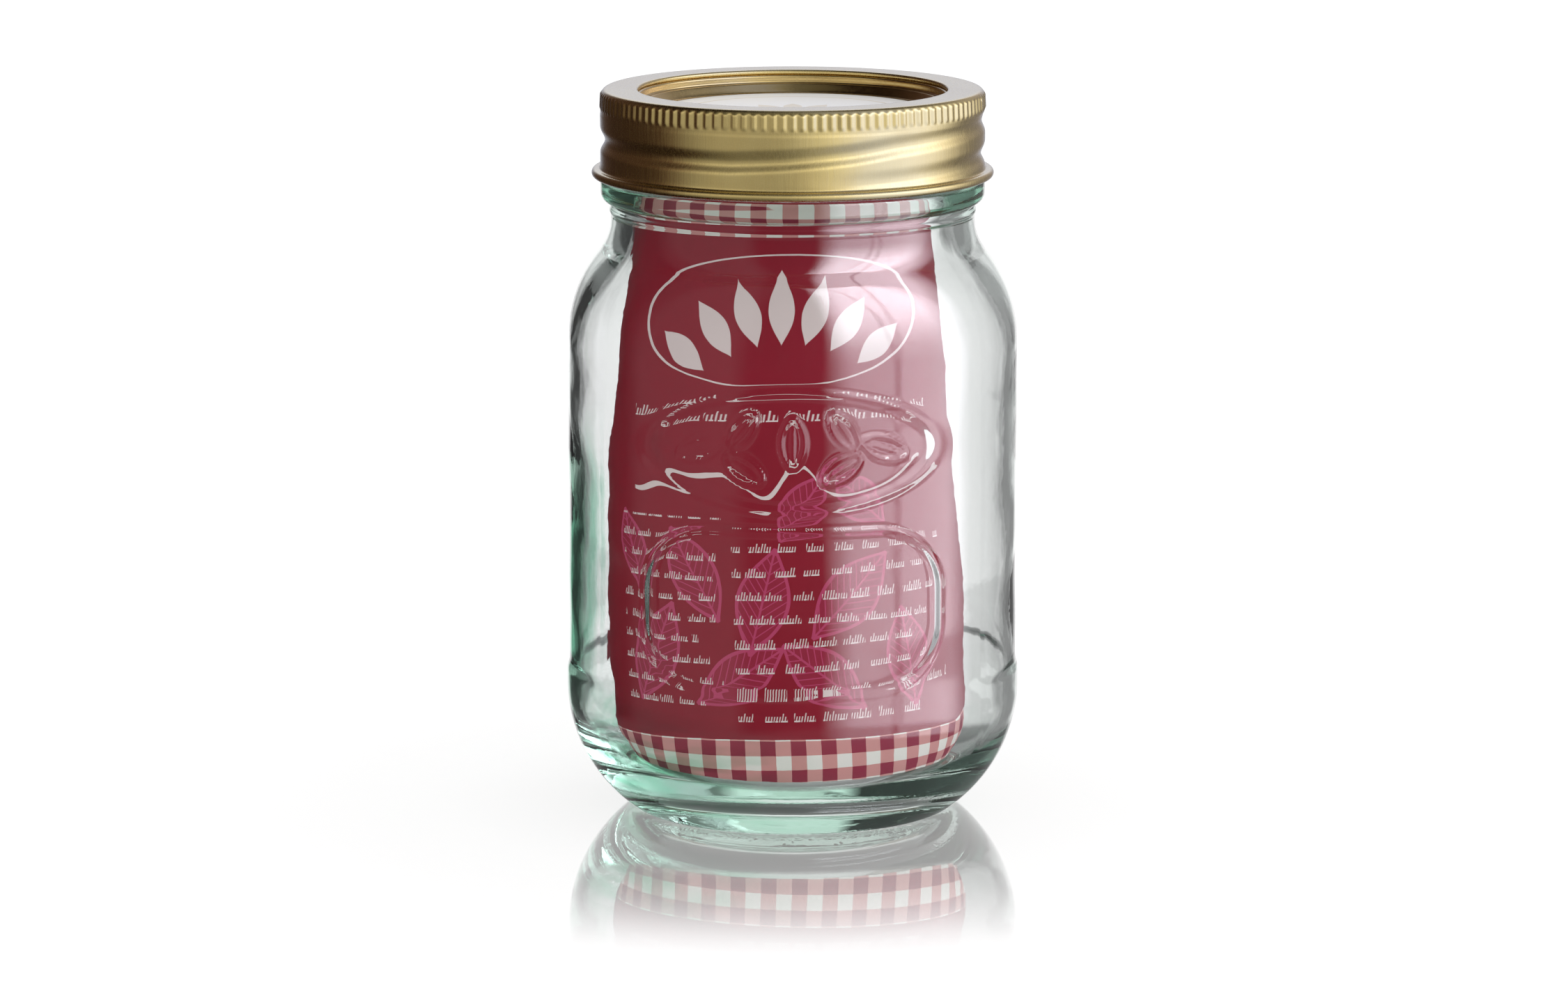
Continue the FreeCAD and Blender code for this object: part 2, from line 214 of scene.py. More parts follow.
def turn_section(name: str, section: Section, sectors: Sequence[Sector]) -> bpy.types.Object:
    """Spins a section once round the axis, sector by sector, and closes the shell.

    The first sector is centred on the front. The spin's own angle counts the other way round.

    Args:
        name: The piece's name.
        section: The line to turn.
        sectors: The sectors, which add up to a full turn.

    Returns:
        The closed piece, in object mode, with faces outwards.
    """
    start = -math.radians(sectors[0].degrees) / 2.0
    pieces = []
    for sector in sectors:
        wedge = math.radians(sector.degrees) / sector.wedges
        pieces.append(draw_section(name, section, start))
        bpy.ops.object.mode_set(mode="EDIT")
        about = {"center": (0.0, 0.0, 0.0), "axis": (0.0, 0.0, 1.0)}
        bpy.ops.mesh.select_all(action="SELECT")
        bpy.ops.mesh.spin(steps=sector.steps, angle=-wedge, **about)
        copies = sector.wedges - 1
        bpy.ops.mesh.select_all(action="SELECT")
        bpy.ops.mesh.spin(steps=copies, angle=-wedge * copies, dupli=True, **about)
        bpy.ops.object.mode_set(mode="OBJECT")
        start += math.radians(sector.degrees)
    piece = pieces[0]
    pick_up(piece)
    if len(pieces) > 1:
        for other in pieces[1:]:
            other.select_set(True)
        bpy.ops.object.join()
    bpy.ops.object.mode_set(mode="EDIT")
    bpy.ops.mesh.select_all(action="SELECT")
    bpy.ops.mesh.remove_doubles(threshold=0.002 * MM)
    bpy.ops.mesh.normals_make_consistent(inside=False)
    bpy.ops.object.mode_set(mode="OBJECT")
    return piece


Relief = Callable[[np.ndarray, np.ndarray, np.ndarray, np.ndarray], tuple[np.ndarray, np.ndarray]]


def press_relief(piece: bpy.types.Object, relief: Relief) -> None:
    """Moves a turned piece's points in or out and up or down, as a mould or roller would.

    Args:
        piece: The turned piece.
        relief: Given row, bearing, distance from the axis and height of every point, in radians and
            millimetres, it returns the new distance and height.
    """
    mesh = piece.data
    count = len(mesh.vertices)
    places = np.empty(count * 3)
    mesh.vertices.foreach_get("co", places)
    places = places.reshape(-1, 3) / MM
    rows = np.empty(count, np.int32)
    mesh.attributes["row"].data.foreach_get("value", rows)
    bearing = np.arctan2(places[:, 0], -places[:, 1])
    across, up = relief(rows, bearing, np.hypot(places[:, 0], places[:, 1]), places[:, 2])
    moved = np.stack((across * np.sin(bearing), -across * np.cos(bearing), up), axis=1) * MM
    mesh.vertices.foreach_set("co", moved.ravel())
    mesh.update()


def finish_piece(
    piece: bpy.types.Object,
    node: str,
    materials: Sequence[bpy.types.Material],
    crease: float,
) -> None:
    """Smooths a piece, dresses it and ties it to the frame.

    Args:
        piece: The piece.
        node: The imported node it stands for.
        materials: The piece's materials, in slot order.
        crease: Edges sharper than this many degrees stay crisp.
    """
    pick_up(piece)
    if "row" in piece.data.attributes:
        piece.data.attributes.remove(piece.data.attributes["row"])
    bpy.ops.object.shade_smooth_by_angle(angle=math.radians(crease))
    piece.data.materials.clear()
    for material in materials:
        piece.data.materials.append(material)
    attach(piece, BODY)
    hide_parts(node)
    triangles = sum(len(face.vertices) - 2 for face in piece.data.polygons)
    log.info("%s: %d triangles", piece.name, triangles)


# ------------------------------------------------------------------ wiring of materials


class Wiring:
    """Adds nodes to one node tree and joins them."""

    def __init__(self, tree: bpy.types.NodeTree) -> None:
        """Takes the tree to work in."""
        self.tree = tree

    def node(self, kind: str, **settings: object) -> bpy.types.Node:
        """A new node with its properties set."""
        made = self.tree.nodes.new(kind)
        for name, value in settings.items():
            setattr(made, name, value)
        return made

    def feed(self, socket: bpy.types.NodeSocket, source: object) -> None:
        """Gives an input a link if the source is a socket, and a plain value otherwise."""
        if source is None:
            return
        if isinstance(source, bpy.types.NodeSocket):
            self.tree.links.new(source, socket)
        elif socket.type == "RGBA" and len(source) == 3:
            socket.default_value = (*source, 1.0)
        else:
            socket.default_value = source

    def math(self, operation: str, *values: object, clamp: bool = False) -> bpy.types.NodeSocket:
        """A Math node's result."""
        made = self.node("ShaderNodeMath", operation=operation, use_clamp=clamp)
        for socket, value in zip(made.inputs, values):
            self.feed(socket, value)
        return made.outputs[0]

    def span(
        self,
        value: object,
        low: object,
        high: object,
        to_low: object = 0.0,
        to_high: object = 1.0,
        soft: bool = True,
    ) -> bpy.types.NodeSocket:
        """A value carried from one range to another, held at its ends."""
        made = self.node("ShaderNodeMapRange")
        made.interpolation_type = "SMOOTHSTEP" if soft else "LINEAR"
        for name, source in (
            ("Value", value),
            ("From Min", low),
            ("From Max", high),
            ("To Min", to_low),
            ("To Max", to_high),
        ):
            self.feed(made.inputs[name], source)
        return made.outputs["Result"]

    def window(self, value: object, low: float, high: float, soft: float) -> bpy.types.NodeSocket:
        """1 between low and high, fading to 0 over a soft edge on each side."""
        rise = self.span(value, low - soft, low + soft)
        fall = self.span(value, high - soft, high + soft, 1.0, 0.0)
        return self.math("MULTIPLY", rise, fall)

    def blend(self, factor: object, first: object, second: object) -> bpy.types.NodeSocket:
        """A colour between two colours."""
        made = self.node("ShaderNodeMix", data_type="RGBA", clamp_factor=True)
        self.feed(made.inputs[0], factor)
        self.feed(made.inputs[6], first)
        self.feed(made.inputs[7], second)
        return made.outputs[2]

    def parts(self, vector: object) -> bpy.types.bpy_prop_collection:
        """The three numbers of a vector."""
        made = self.node("ShaderNodeSeparateXYZ")
        self.feed(made.inputs[0], vector)
        return made.outputs

    def vector(self, *values: object) -> bpy.types.NodeSocket:
        """A vector of three numbers."""
        made = self.node("ShaderNodeCombineXYZ")
        for socket, value in zip(made.inputs, values):
            self.feed(socket, value)
        return made.outputs[0]

    def noise(
        self, vector: object, scale: float, detail: float = 2.0, roughness: float = 0.5
    ) -> bpy.types.NodeSocket:
        """A noise texture's value."""
        made = self.node("ShaderNodeTexNoise")
        self.feed(made.inputs["Vector"], vector)
        self.feed(made.inputs["Scale"], scale)
        self.feed(made.inputs["Detail"], detail)
        self.feed(made.inputs["Roughness"], roughness)
        return made.outputs[0]

    def reach(self, x: object, y: object) -> bpy.types.NodeSocket:
        """How far a point lies from the middle."""
        squares = [self.math("MULTIPLY", part, part) for part in (x, y)]
        return self.math("SQRT", self.math("ADD", *squares))

    def ramp(self, share: object, stops: Sequence[tuple[float, Colour]]) -> bpy.types.NodeSocket:
        """A colour read from a row of stops, each a place from 0 to 1 and its colour."""
        made = self.node("ShaderNodeValToRGB")
        elements = made.color_ramp.elements
        while len(elements) < len(stops):
            elements.new(0.5)
        for element, (place, _) in zip(elements, stops):
            element.position = place
        for element, (_, colour) in zip(elements, stops):
            element.color = (*colour, 1.0)
        self.feed(made.inputs[0], share)
        return made.outputs[0]

    def bump(
        self, surface: bpy.types.Node, height: object, depth: float, strength: float
    ) -> None:
        """Gives a surface a fine relief, with its depth in millimetres."""
        made = self.node("ShaderNodeBump")
        made.inputs["Distance"].default_value = depth * MM
        made.inputs["Strength"].default_value = strength
        self.feed(made.inputs["Height"], height)
        self.feed(surface.inputs["Normal"], made.outputs[0])

    def chance(self, first: object, second: object) -> bpy.types.NodeSocket:
        """A number from 0 to 1 that two whole numbers decide."""
        made = self.node("ShaderNodeTexWhiteNoise", noise_dimensions="2D")
        self.feed(made.inputs["Vector"], self.vector(first, second, 0.0))
        return made.outputs["Value"]

    def use(self, group: bpy.types.NodeTree, **values: object) -> bpy.types.Node:
        """A node group placed with its own values; an underscore in a name stands for a space."""
        made = self.node("ShaderNodeGroup", node_tree=group)
        for name, value in values.items():
            self.feed(made.inputs[name.replace("_", " ")], value)
        return made


def new_group(name: str, inputs: dict[str, object], outputs: dict[str, str]) -> tuple[
    bpy.types.NodeTree, Wiring, bpy.types.Node, bpy.types.Node
]:
    """An empty shader node group with named sockets.

    Args:
        name: The group's name.
        inputs: Each input's name, with its default number, or None for a vector.
        outputs: Each output's name and socket type.

    Returns:
        The group, its wiring, its input node and its output node.
    """
    group = bpy.data.node_groups.new(name, "ShaderNodeTree")
    for label, default in inputs.items():
        kind = "NodeSocketVector" if default is None else "NodeSocketFloat"
        socket = group.interface.new_socket(name=label, in_out="INPUT", socket_type=kind)
        if default is not None:
            socket.default_value = default
    for label, kind in outputs.items():
        group.interface.new_socket(name=label, in_out="OUTPUT", socket_type=kind)
    wiring = Wiring(group)
    return group, wiring, wiring.node("NodeGroupInput"), wiring.node("NodeGroupOutput")


def new_material(name: str) -> tuple[bpy.types.Material, Wiring, bpy.types.Node, bpy.types.Node]:
    """An empty node material.

    Returns:
        The material, its wiring, its Principled BSDF and its output node.
    """
    material = bpy.data.materials.new(name)
    material.use_nodes = True
    material.node_tree.nodes.clear()
    wiring = Wiring(material.node_tree)
    surface = wiring.node("ShaderNodeBsdfPrincipled")
    output = wiring.node("ShaderNodeOutputMaterial")
    wiring.feed(output.inputs["Surface"], surface.outputs[0])
    return material, wiring, surface, output


class SharedEffects:
    """Shader node groups that more than one finish or more than one place uses."""

    def __init__(self) -> None:
        """Builds each group once."""
        self.brushing = self._brushing()
        self.fibre = self._fibre()
        self.gingham = self._gingham()
        self.dashes = self._dashes()
        self.leaf = self._leaf()

    @staticmethod
    def _brushing() -> bpy.types.NodeTree:
        """Fine streaks that run up and down, and a slow cloudiness."""
        group, wiring, given, result = new_group(
            "Brushing",
            {"Vector": None, "Fineness": 2200.0, "Stretch": 0.05},
            {"Streak": "NodeSocketFloat", "Cloud": "NodeSocketFloat"},
        )
        x, y, z = wiring.parts(given.outputs["Vector"])
        drawn_out = wiring.vector(x, y, wiring.math("MULTIPLY", z, given.outputs["Stretch"]))
        streak = wiring.noise(drawn_out, given.outputs["Fineness"], 3.0, 0.6)
        cloud = wiring.noise(given.outputs["Vector"], 90.0, 2.0, 0.5)
        wiring.feed(result.inputs["Streak"], streak)
        wiring.feed(result.inputs["Cloud"], cloud)
        return group

    @staticmethod
    def _fibre() -> bpy.types.NodeTree:
        """The fine tooth of card and its slow change of tone."""
        group, wiring, given, result = new_group(
            "Card fibre",
            {"Vector": None},
            {"Tooth": "NodeSocketFloat", "Tone": "NodeSocketFloat"},
        )
        wiring.feed(result.inputs["Tooth"], wiring.noise(given.outputs["Vector"], 5200.0, 3.0, 0.7))
        wiring.feed(result.inputs["Tone"], wiring.noise(given.outputs["Vector"], 130.0, 3.0, 0.6))
        return group

    @staticmethod
    def _gingham() -> bpy.types.NodeTree:
        """A check of crossed bands: 0 is white, 0.5 one band, 1 where two bands cross."""
        group, wiring, given, result = new_group(
            "Gingham",
            {"Across": 0.0, "Up": 0.0, "Column": 2.6, "Row": 3.0},
            {"Weave": "NodeSocketFloat"},
        )
        bands = []
        for place, width in (("Across", "Column"), ("Up", "Row")):
            pair = wiring.math("MULTIPLY", given.outputs[width], 2.0)
            share = wiring.math("FRACT", wiring.math("DIVIDE", given.outputs[place], pair))
            bands.append(wiring.window(share, 0.0, 0.5, 0.006))
        total = wiring.math("ADD", *bands)
        wiring.feed(result.inputs["Weave"], wiring.math("MULTIPLY", total, 0.5))
        return group

    @staticmethod
    def _dashes() -> bpy.types.NodeTree:
        """Rows of short strokes in uneven bunches, as lines of small print look from afar."""
        group, wiring, given, result = new_group(
            "Print rows",
            {
                "Across": 0.0,
                "Up": 0.0,
                "Left": 0.0,
                "Right": 40.0,
                "Bottom": 0.0,
                "Top": 40.0,
                "Pitch": 5.0,
                "Height": 1.5,
                "Word": 6.0,
                "Stroke": 0.62,
            },
            {"Mask": "NodeSocketFloat"},
        )
        across, up = given.outputs["Across"], given.outputs["Up"]
        rows = wiring.math(
            "DIVIDE", wiring.math("SUBTRACT", up, given.outputs["Bottom"]), given.outputs["Pitch"]
        )
        row = wiring.math("FLOOR", rows)
        height = wiring.math("MULTIPLY", wiring.math("FRACT", rows), given.outputs["Pitch"])
        slide = wiring.math("MULTIPLY", wiring.chance(row, 3.0), 9.0)
        words = wiring.math("ADD", wiring.math("DIVIDE", across, given.outputs["Word"]), slide)
        word = wiring.math("FLOOR", words)
        length = wiring.math("ADD", wiring.math("MULTIPLY", wiring.chance(word, row), 0.35), 0.55)
        in_word = wiring.math("LESS_THAN", wiring.math("FRACT", words), length)
        slanted = wiring.math("SUBTRACT", across, wiring.math("MULTIPLY", height, 0.22))
        strokes = wiring.math("DIVIDE", slanted, given.outputs["Stroke"])
        stroke = wiring.math("FLOOR", strokes)
        body = wiring.window(wiring.math("FRACT", strokes), 0.28, 0.68, 0.12)
        tall = wiring.math("GREATER_THAN", wiring.chance(stroke, row), 0.72)
        reach = wiring.math(
            "MULTIPLY", given.outputs["Height"], wiring.math("MULTIPLY_ADD", tall, 0.35, 0.62)
        )
        in_line = wiring.math("LESS_THAN", height, reach)
        bar = wiring.math(
            "MULTIPLY",
            wiring.math("LESS_THAN", height, 0.28),
            wiring.math("GREATER_THAN", wiring.chance(stroke, wiring.math("ADD", row, 31.0)), 0.45),
        )
        ragged = wiring.math(
            "SUBTRACT",
            given.outputs["Right"],
            wiring.math("MULTIPLY", wiring.chance(row, 7.0), wiring.math(
                "MULTIPLY",
                wiring.math("SUBTRACT", given.outputs["Right"], given.outputs["Left"]),
                0.35,
            )),
        )
        inside = wiring.math(
            "MULTIPLY",
            wiring.math("GREATER_THAN", across, given.outputs["Left"]),
            wiring.math("LESS_THAN", across, ragged),
        )
        inside = wiring.math(
            "MULTIPLY",
            inside,
            wiring.math(
                "MULTIPLY",
                wiring.math("GREATER_THAN", up, given.outputs["Bottom"]),
                wiring.math("LESS_THAN", up, given.outputs["Top"]),
            ),
        )
        ink = wiring.math("MAXIMUM", body, bar)
        mask = wiring.math("MULTIPLY", wiring.math("MULTIPLY", ink, in_line), in_word)
        wiring.feed(result.inputs["Mask"], wiring.math("MULTIPLY", mask, inside))
        return group

    @staticmethod
    def _leaf() -> bpy.types.NodeTree:
        """A pointed leaf: its filled shape, its outline and its veins."""
        group, wiring, given, result = new_group(
            "Leaf",
            {
                "Across": 0.0,
                "Up": 0.0,
                "Centre Across": 0.0,
                "Centre Up": 0.0,
                "Turn": 0.0,
                "Length": 14.0,
                "Width": 6.0,
                "Line": 0.3,
            },
            {"Fill": "NodeSocketFloat", "Outline": "NodeSocketFloat"},
        )
        dx = wiring.math("SUBTRACT", given.outputs["Across"], given.outputs["Centre Across"])
        dy = wiring.math("SUBTRACT", given.outputs["Up"], given.outputs["Centre Up"])
        cosine = wiring.math("COSINE", given.outputs["Turn"])
        sine = wiring.math("SINE", given.outputs["Turn"])
        along = wiring.math(
            "ADD", wiring.math("MULTIPLY", dx, cosine), wiring.math("MULTIPLY", dy, sine)
        )
        aside = wiring.math(
            "SUBTRACT", wiring.math("MULTIPLY", dy, cosine), wiring.math("MULTIPLY", dx, sine)
        )
        share = wiring.math(
            "DIVIDE", along, wiring.math("MULTIPLY", given.outputs["Length"], 0.5)
        )
        bulge = wiring.math("SUBTRACT", 1.0, wiring.math("MULTIPLY", share, share))
        bulge = wiring.math("POWER", wiring.math("MAXIMUM", bulge, 0.0), 1.25)
        half_width = wiring.math(
            "MULTIPLY", bulge, wiring.math("MULTIPLY", given.outputs["Width"], 0.5)
        )
        inward = wiring.math("SUBTRACT", half_width, wiring.math("ABSOLUTE", aside))
        on_leaf = wiring.math("LESS_THAN", wiring.math("ABSOLUTE", share), 1.0)
        fill = wiring.math("MULTIPLY", wiring.span(inward, -0.06, 0.06), on_leaf)
        edge = wiring.math(
            "MULTIPLY",
            wiring.math("LESS_THAN", wiring.math("ABSOLUTE", inward), given.outputs["Line"]),
            on_leaf,
        )
        midrib = wiring.math(
            "MULTIPLY",
            wiring.math("LESS_THAN", wiring.math("ABSOLUTE", aside),
                        wiring.math("MULTIPLY", given.outputs["Line"], 0.6)),
            fill,
        )
        slanted = wiring.math(
            "SUBTRACT", along, wiring.math("MULTIPLY", wiring.math("ABSOLUTE", aside), 1.1)
        )
        ribs = wiring.math(
            "LESS_THAN", wiring.math("PINGPONG", slanted, 0.9),
            wiring.math("MULTIPLY", given.outputs["Line"], 0.42),
        )
        veins = wiring.math("MAXIMUM", midrib, wiring.math("MULTIPLY", ribs, fill))
        wiring.feed(result.inputs["Fill"], fill)
        wiring.feed(result.inputs["Outline"], wiring.math("MAXIMUM", edge, veins))
        return group


# ------------------------------------------------------------------ finishes


@dataclass(frozen=True)
class ClearGlass:
    """Clear pressed glass, faintly green where it is thick, with a painted green shade in its colour.
    """

    ior: float = 1.52
    tint: Colour = (0.10, 0.72, 0.46)
    density: float = 7.0
    lamp_tint: Colour = (0.945, 0.955, 0.95)
    painted_shade_green: Colour = (0.22, 0.66, 0.44)
    stipple_height: float = 1.6

    def _painted_green_shade(self, wiring: Wiring, place: object) -> bpy.types.NodeSocket:
        """A painted green shade in the glass's colour: in the thick heel, more on the left than on
        the right, at the left wall's edge and on the bead's sides.
        """
        x, _, z = wiring.parts(place)
        # Painted shade: these masks darken and green the heel, the left side, the left wall's edge
        # and the bead's sides.
        low = wiring.span(z, 30.0 * MM, 9.0 * MM)
        bead = wiring.window(z, 115.6 * MM, 120.6 * MM, 0.4 * MM)
        sides = wiring.span(wiring.math("ABSOLUTE", x), 20.0 * MM, 35.0 * MM, 0.15, 0.8)
        left = wiring.span(x, 10.0 * MM, -34.0 * MM, 0.06, 1.0)
        wall = wiring.math(
            "MULTIPLY",
            wiring.span(x, -37.5 * MM, -41.5 * MM),
            wiring.window(z, 22.0 * MM, 66.0 * MM, 12.0 * MM),
        )
        flattened = wiring.vector(x, 0.0, wiring.math("MULTIPLY", z, 4.0))
        streaks = wiring.span(wiring.noise(flattened, 70.0), 0.38, 0.62, 0.15, 1.0)
        shade_mask = wiring.math("MULTIPLY", wiring.math("MULTIPLY", low, left), streaks)
        shade_mask = wiring.math("MAXIMUM", shade_mask, wiring.math("MULTIPLY", bead, sides))
        shade_mask = wiring.math("MAXIMUM", shade_mask, wall)
        return wiring.blend(shade_mask, (1.0, 1.0, 1.0), self.painted_shade_green)

    def build(self) -> bpy.types.Material:
        """The glass material, which lets lamps and soft light through to what is inside."""
        material, wiring, surface, output = new_material("clear_glass")
        surface.inputs["Roughness"].default_value = 0.0
        surface.inputs["IOR"].default_value = self.ior
        surface.inputs["Transmission Weight"].default_value = 1.0
        place = wiring.node("ShaderNodeTexCoord").outputs["Object"]
        # The base colour carries the painted green shade.
        wiring.feed(surface.inputs["Base Color"], self._painted_green_shade(wiring, place))
        ripple = wiring.noise(place, 210.0, 2.0, 0.5)
        stipple = wiring.node("ShaderNodeTexVoronoi", feature="F1")
        wiring.feed(stipple.inputs["Vector"], place)
        wiring.feed(stipple.inputs["Scale"], 1100.0)
        height = wiring.parts(place)[2]
        foot = wiring.span(height, self.stipple_height * MM, 0.2 * MM)
        relief = wiring.math(
            "ADD",
            wiring.math("MULTIPLY", ripple, 0.25),
            wiring.math("MULTIPLY", wiring.math("MULTIPLY", stipple.outputs["Distance"], foot), 0.6),
        )
        wiring.bump(surface, relief, 0.2, 0.35)
        path = wiring.node("ShaderNodeLightPath")
        blurred = wiring.math(
            "MULTIPLY",
            path.outputs["Is Glossy Ray"],
            wiring.math("SUBTRACT", 1.0, path.outputs["Is Singular Ray"]),
        )
        let_through = wiring.math(
            "MAXIMUM",
            wiring.math("MAXIMUM", path.outputs["Is Shadow Ray"], path.outputs["Is Diffuse Ray"]),
            blurred,
        )
        clear = wiring.node("ShaderNodeBsdfTransparent")
        wiring.feed(clear.inputs[0], self.lamp_tint)
        mix = wiring.node("ShaderNodeMixShader")
        wiring.feed(mix.inputs[0], let_through)
        wiring.feed(mix.inputs[1], surface.outputs[0])
        wiring.feed(mix.inputs[2], clear.outputs[0])
        wiring.feed(output.inputs["Surface"], mix.outputs[0])
        absorb = wiring.node("ShaderNodeVolumeAbsorption")
        absorb.inputs["Color"].default_value = (*self.tint, 1.0)
        absorb.inputs["Density"].default_value = self.density
        wiring.feed(output.inputs["Volume"], absorb.outputs[0])
        return material


@dataclass(frozen=True)
class GoldLacquer:
    """Gold-lacquered tinplate with a satin, faintly brushed face."""

    name: str
    light: Colour
    deep: Colour
    roughness: float
    streak_depth: float
    fineness: float
    coat: float = 0.4
    coat_roughness: float = 0.12
    # The centre's near-white colour is a pale panel that also paints in the white room's reflection
    # on the disc.
    centre: Colour = (0.0, 0.0, 0.0)
    centre_radius: float = 0.0
    centre_roughness: float = 0.42
    centre_metal: float = 0.1
    centre_coat: float = 0.15
    ornament_ink: float = 0.35

    @staticmethod
    def _ornament(
        wiring: Wiring, effects: SharedEffects, x: object, y: object
    ) -> bpy.types.NodeSocket:
        """A thin ring round a plain sprig of five leaves, in the middle of the lid."""
        across = wiring.math("DIVIDE", x, MM)
        up = wiring.math("DIVIDE", y, MM)
        reach = wiring.reach(across, up)
        ink: object = wiring.math(
            "LESS_THAN", wiring.math("ABSOLUTE", wiring.math("SUBTRACT", reach, 20.0)), 0.3
        )
        for bearing in range(-60, 61, 30):
            angle = math.radians(90.0 + bearing)
            leaf = wiring.use(
                effects.leaf, Across=across, Up=up, Centre_Across=8.5 * math.cos(angle),
                Centre_Up=8.5 * math.sin(angle) - 4.0, Turn=angle, Length=9.0, Width=3.6, Line=0.25,
            )
            ink = wiring.math("MAXIMUM", ink, leaf.outputs["Fill"])
        return ink

    def build(self, effects: SharedEffects) -> bpy.types.Material:
        """The lacquer material."""
        material, wiring, surface, _ = new_material(self.name)
        place = wiring.node("ShaderNodeTexCoord").outputs["Object"]
        brushed = wiring.use(effects.brushing, Vector=place, Fineness=self.fineness)
        streak, cloud = brushed.outputs["Streak"], brushed.outputs["Cloud"]
        colour = wiring.blend(wiring.span(cloud, 0.35, 0.68), self.deep, self.light)
        rough = wiring.span(streak, 0.3, 0.7, self.roughness - 0.05, self.roughness + 0.07)
        surface.inputs["Metallic"].default_value = 1.0
        coat: object = self.coat
        # Partly painted reflection: the pale, barely metallic centre stands in for the room's white
        # glare on the panel.
        if self.centre_radius > 0.0:
            x, y, _ = wiring.parts(place)
            centre = wiring.span(
                wiring.reach(x, y), self.centre_radius * MM, (self.centre_radius - 0.4) * MM
            )
            ink = wiring.math("MULTIPLY", self._ornament(wiring, effects, x, y), self.ornament_ink)
            colour = wiring.blend(centre, colour, wiring.blend(ink, self.centre, self.deep))
            rough = wiring.span(centre, 0.0, 1.0, rough, self.centre_roughness, soft=False)
            metal = wiring.span(centre, 0.0, 1.0, 1.0, self.centre_metal, soft=False)
            wiring.feed(surface.inputs["Metallic"], metal)
            coat = wiring.span(centre, 0.0, 1.0, self.coat, self.centre_coat, soft=False)
        wiring.feed(surface.inputs["Base Color"], colour)
        wiring.feed(surface.inputs["Roughness"], rough)
        wiring.feed(surface.inputs["Coat Weight"], coat)
        surface.inputs["Coat Roughness"].default_value = self.coat_roughness
        wiring.bump(surface, streak, 0.05, self.streak_depth)
        return material


@dataclass(frozen=True)
class SealCompound:
    """The soft pinkish-grey ring of sealing compound under the disc."""

    colour: Colour = field(default_factory=lambda: paint(176, 120, 104))

    def build(self, effects: SharedEffects) -> bpy.types.Material:
        """The compound material."""
        material, wiring, surface, _ = new_material("seal_compound")
        place = wiring.node("ShaderNodeTexCoord").outputs["Object"]
        fibre = wiring.use(effects.fibre, Vector=place)
        darker = tuple(level * 0.8 for level in self.colour)
        wiring.feed(
            surface.inputs["Base Color"],
            wiring.blend(fibre.outputs["Tone"], darker, self.colour),
        )
        surface.inputs["Roughness"].default_value = 0.55
        return material


# ------------------------------------------------------------------ glass jar


def ridge(distance: np.ndarray, height: float, width: float) -> np.ndarray:
    """The height of a rounded ridge at a distance from its middle line."""
    return height * np.exp(-((distance / width) ** 2))


def rounded_box(
    across: np.ndarray, up: np.ndarray, half_width: float, half_height: float, corner: float
) -> np.ndarray:
    """The distance to a rounded rectangle's outline, under 0 inside it."""
    side = np.abs(across) - (half_width - corner)
    top = np.abs(up) - (half_height - corner)
    beyond = np.hypot(np.maximum(side, 0.0), np.maximum(top, 0.0))
    return beyond + np.minimum(np.maximum(side, top), 0.0) - corner


@dataclass(frozen=True)
class MouldedLeaf:
    """A leaf raised on the glass: its middle, turn, length and width."""

    across: float
    up: float
    turn: float
    length: float
    width: float

    def relief(self, across: np.ndarray, up: np.ndarray) -> np.ndarray:
        """The leaf's rim and midrib at each point, as a share of the full height."""
        dx, dy = across - self.across, up - self.up
        along = dx * math.cos(self.turn) + dy * math.sin(self.turn)
        aside = dy * math.cos(self.turn) - dx * math.sin(self.turn)
        share = np.clip(1.0 - (2.0 * along / self.length) ** 2, 0.0, None)
        half_width = self.width / 2.0 * share**0.85
        on_leaf = share > 0.0
        rim = np.exp(-(((np.abs(aside) - half_width) / 0.5) ** 2))
        rib = 0.7 * np.exp(-((aside / 0.4) ** 2)) * (share > 0.15)
        return np.maximum(rim, rib) * on_leaf


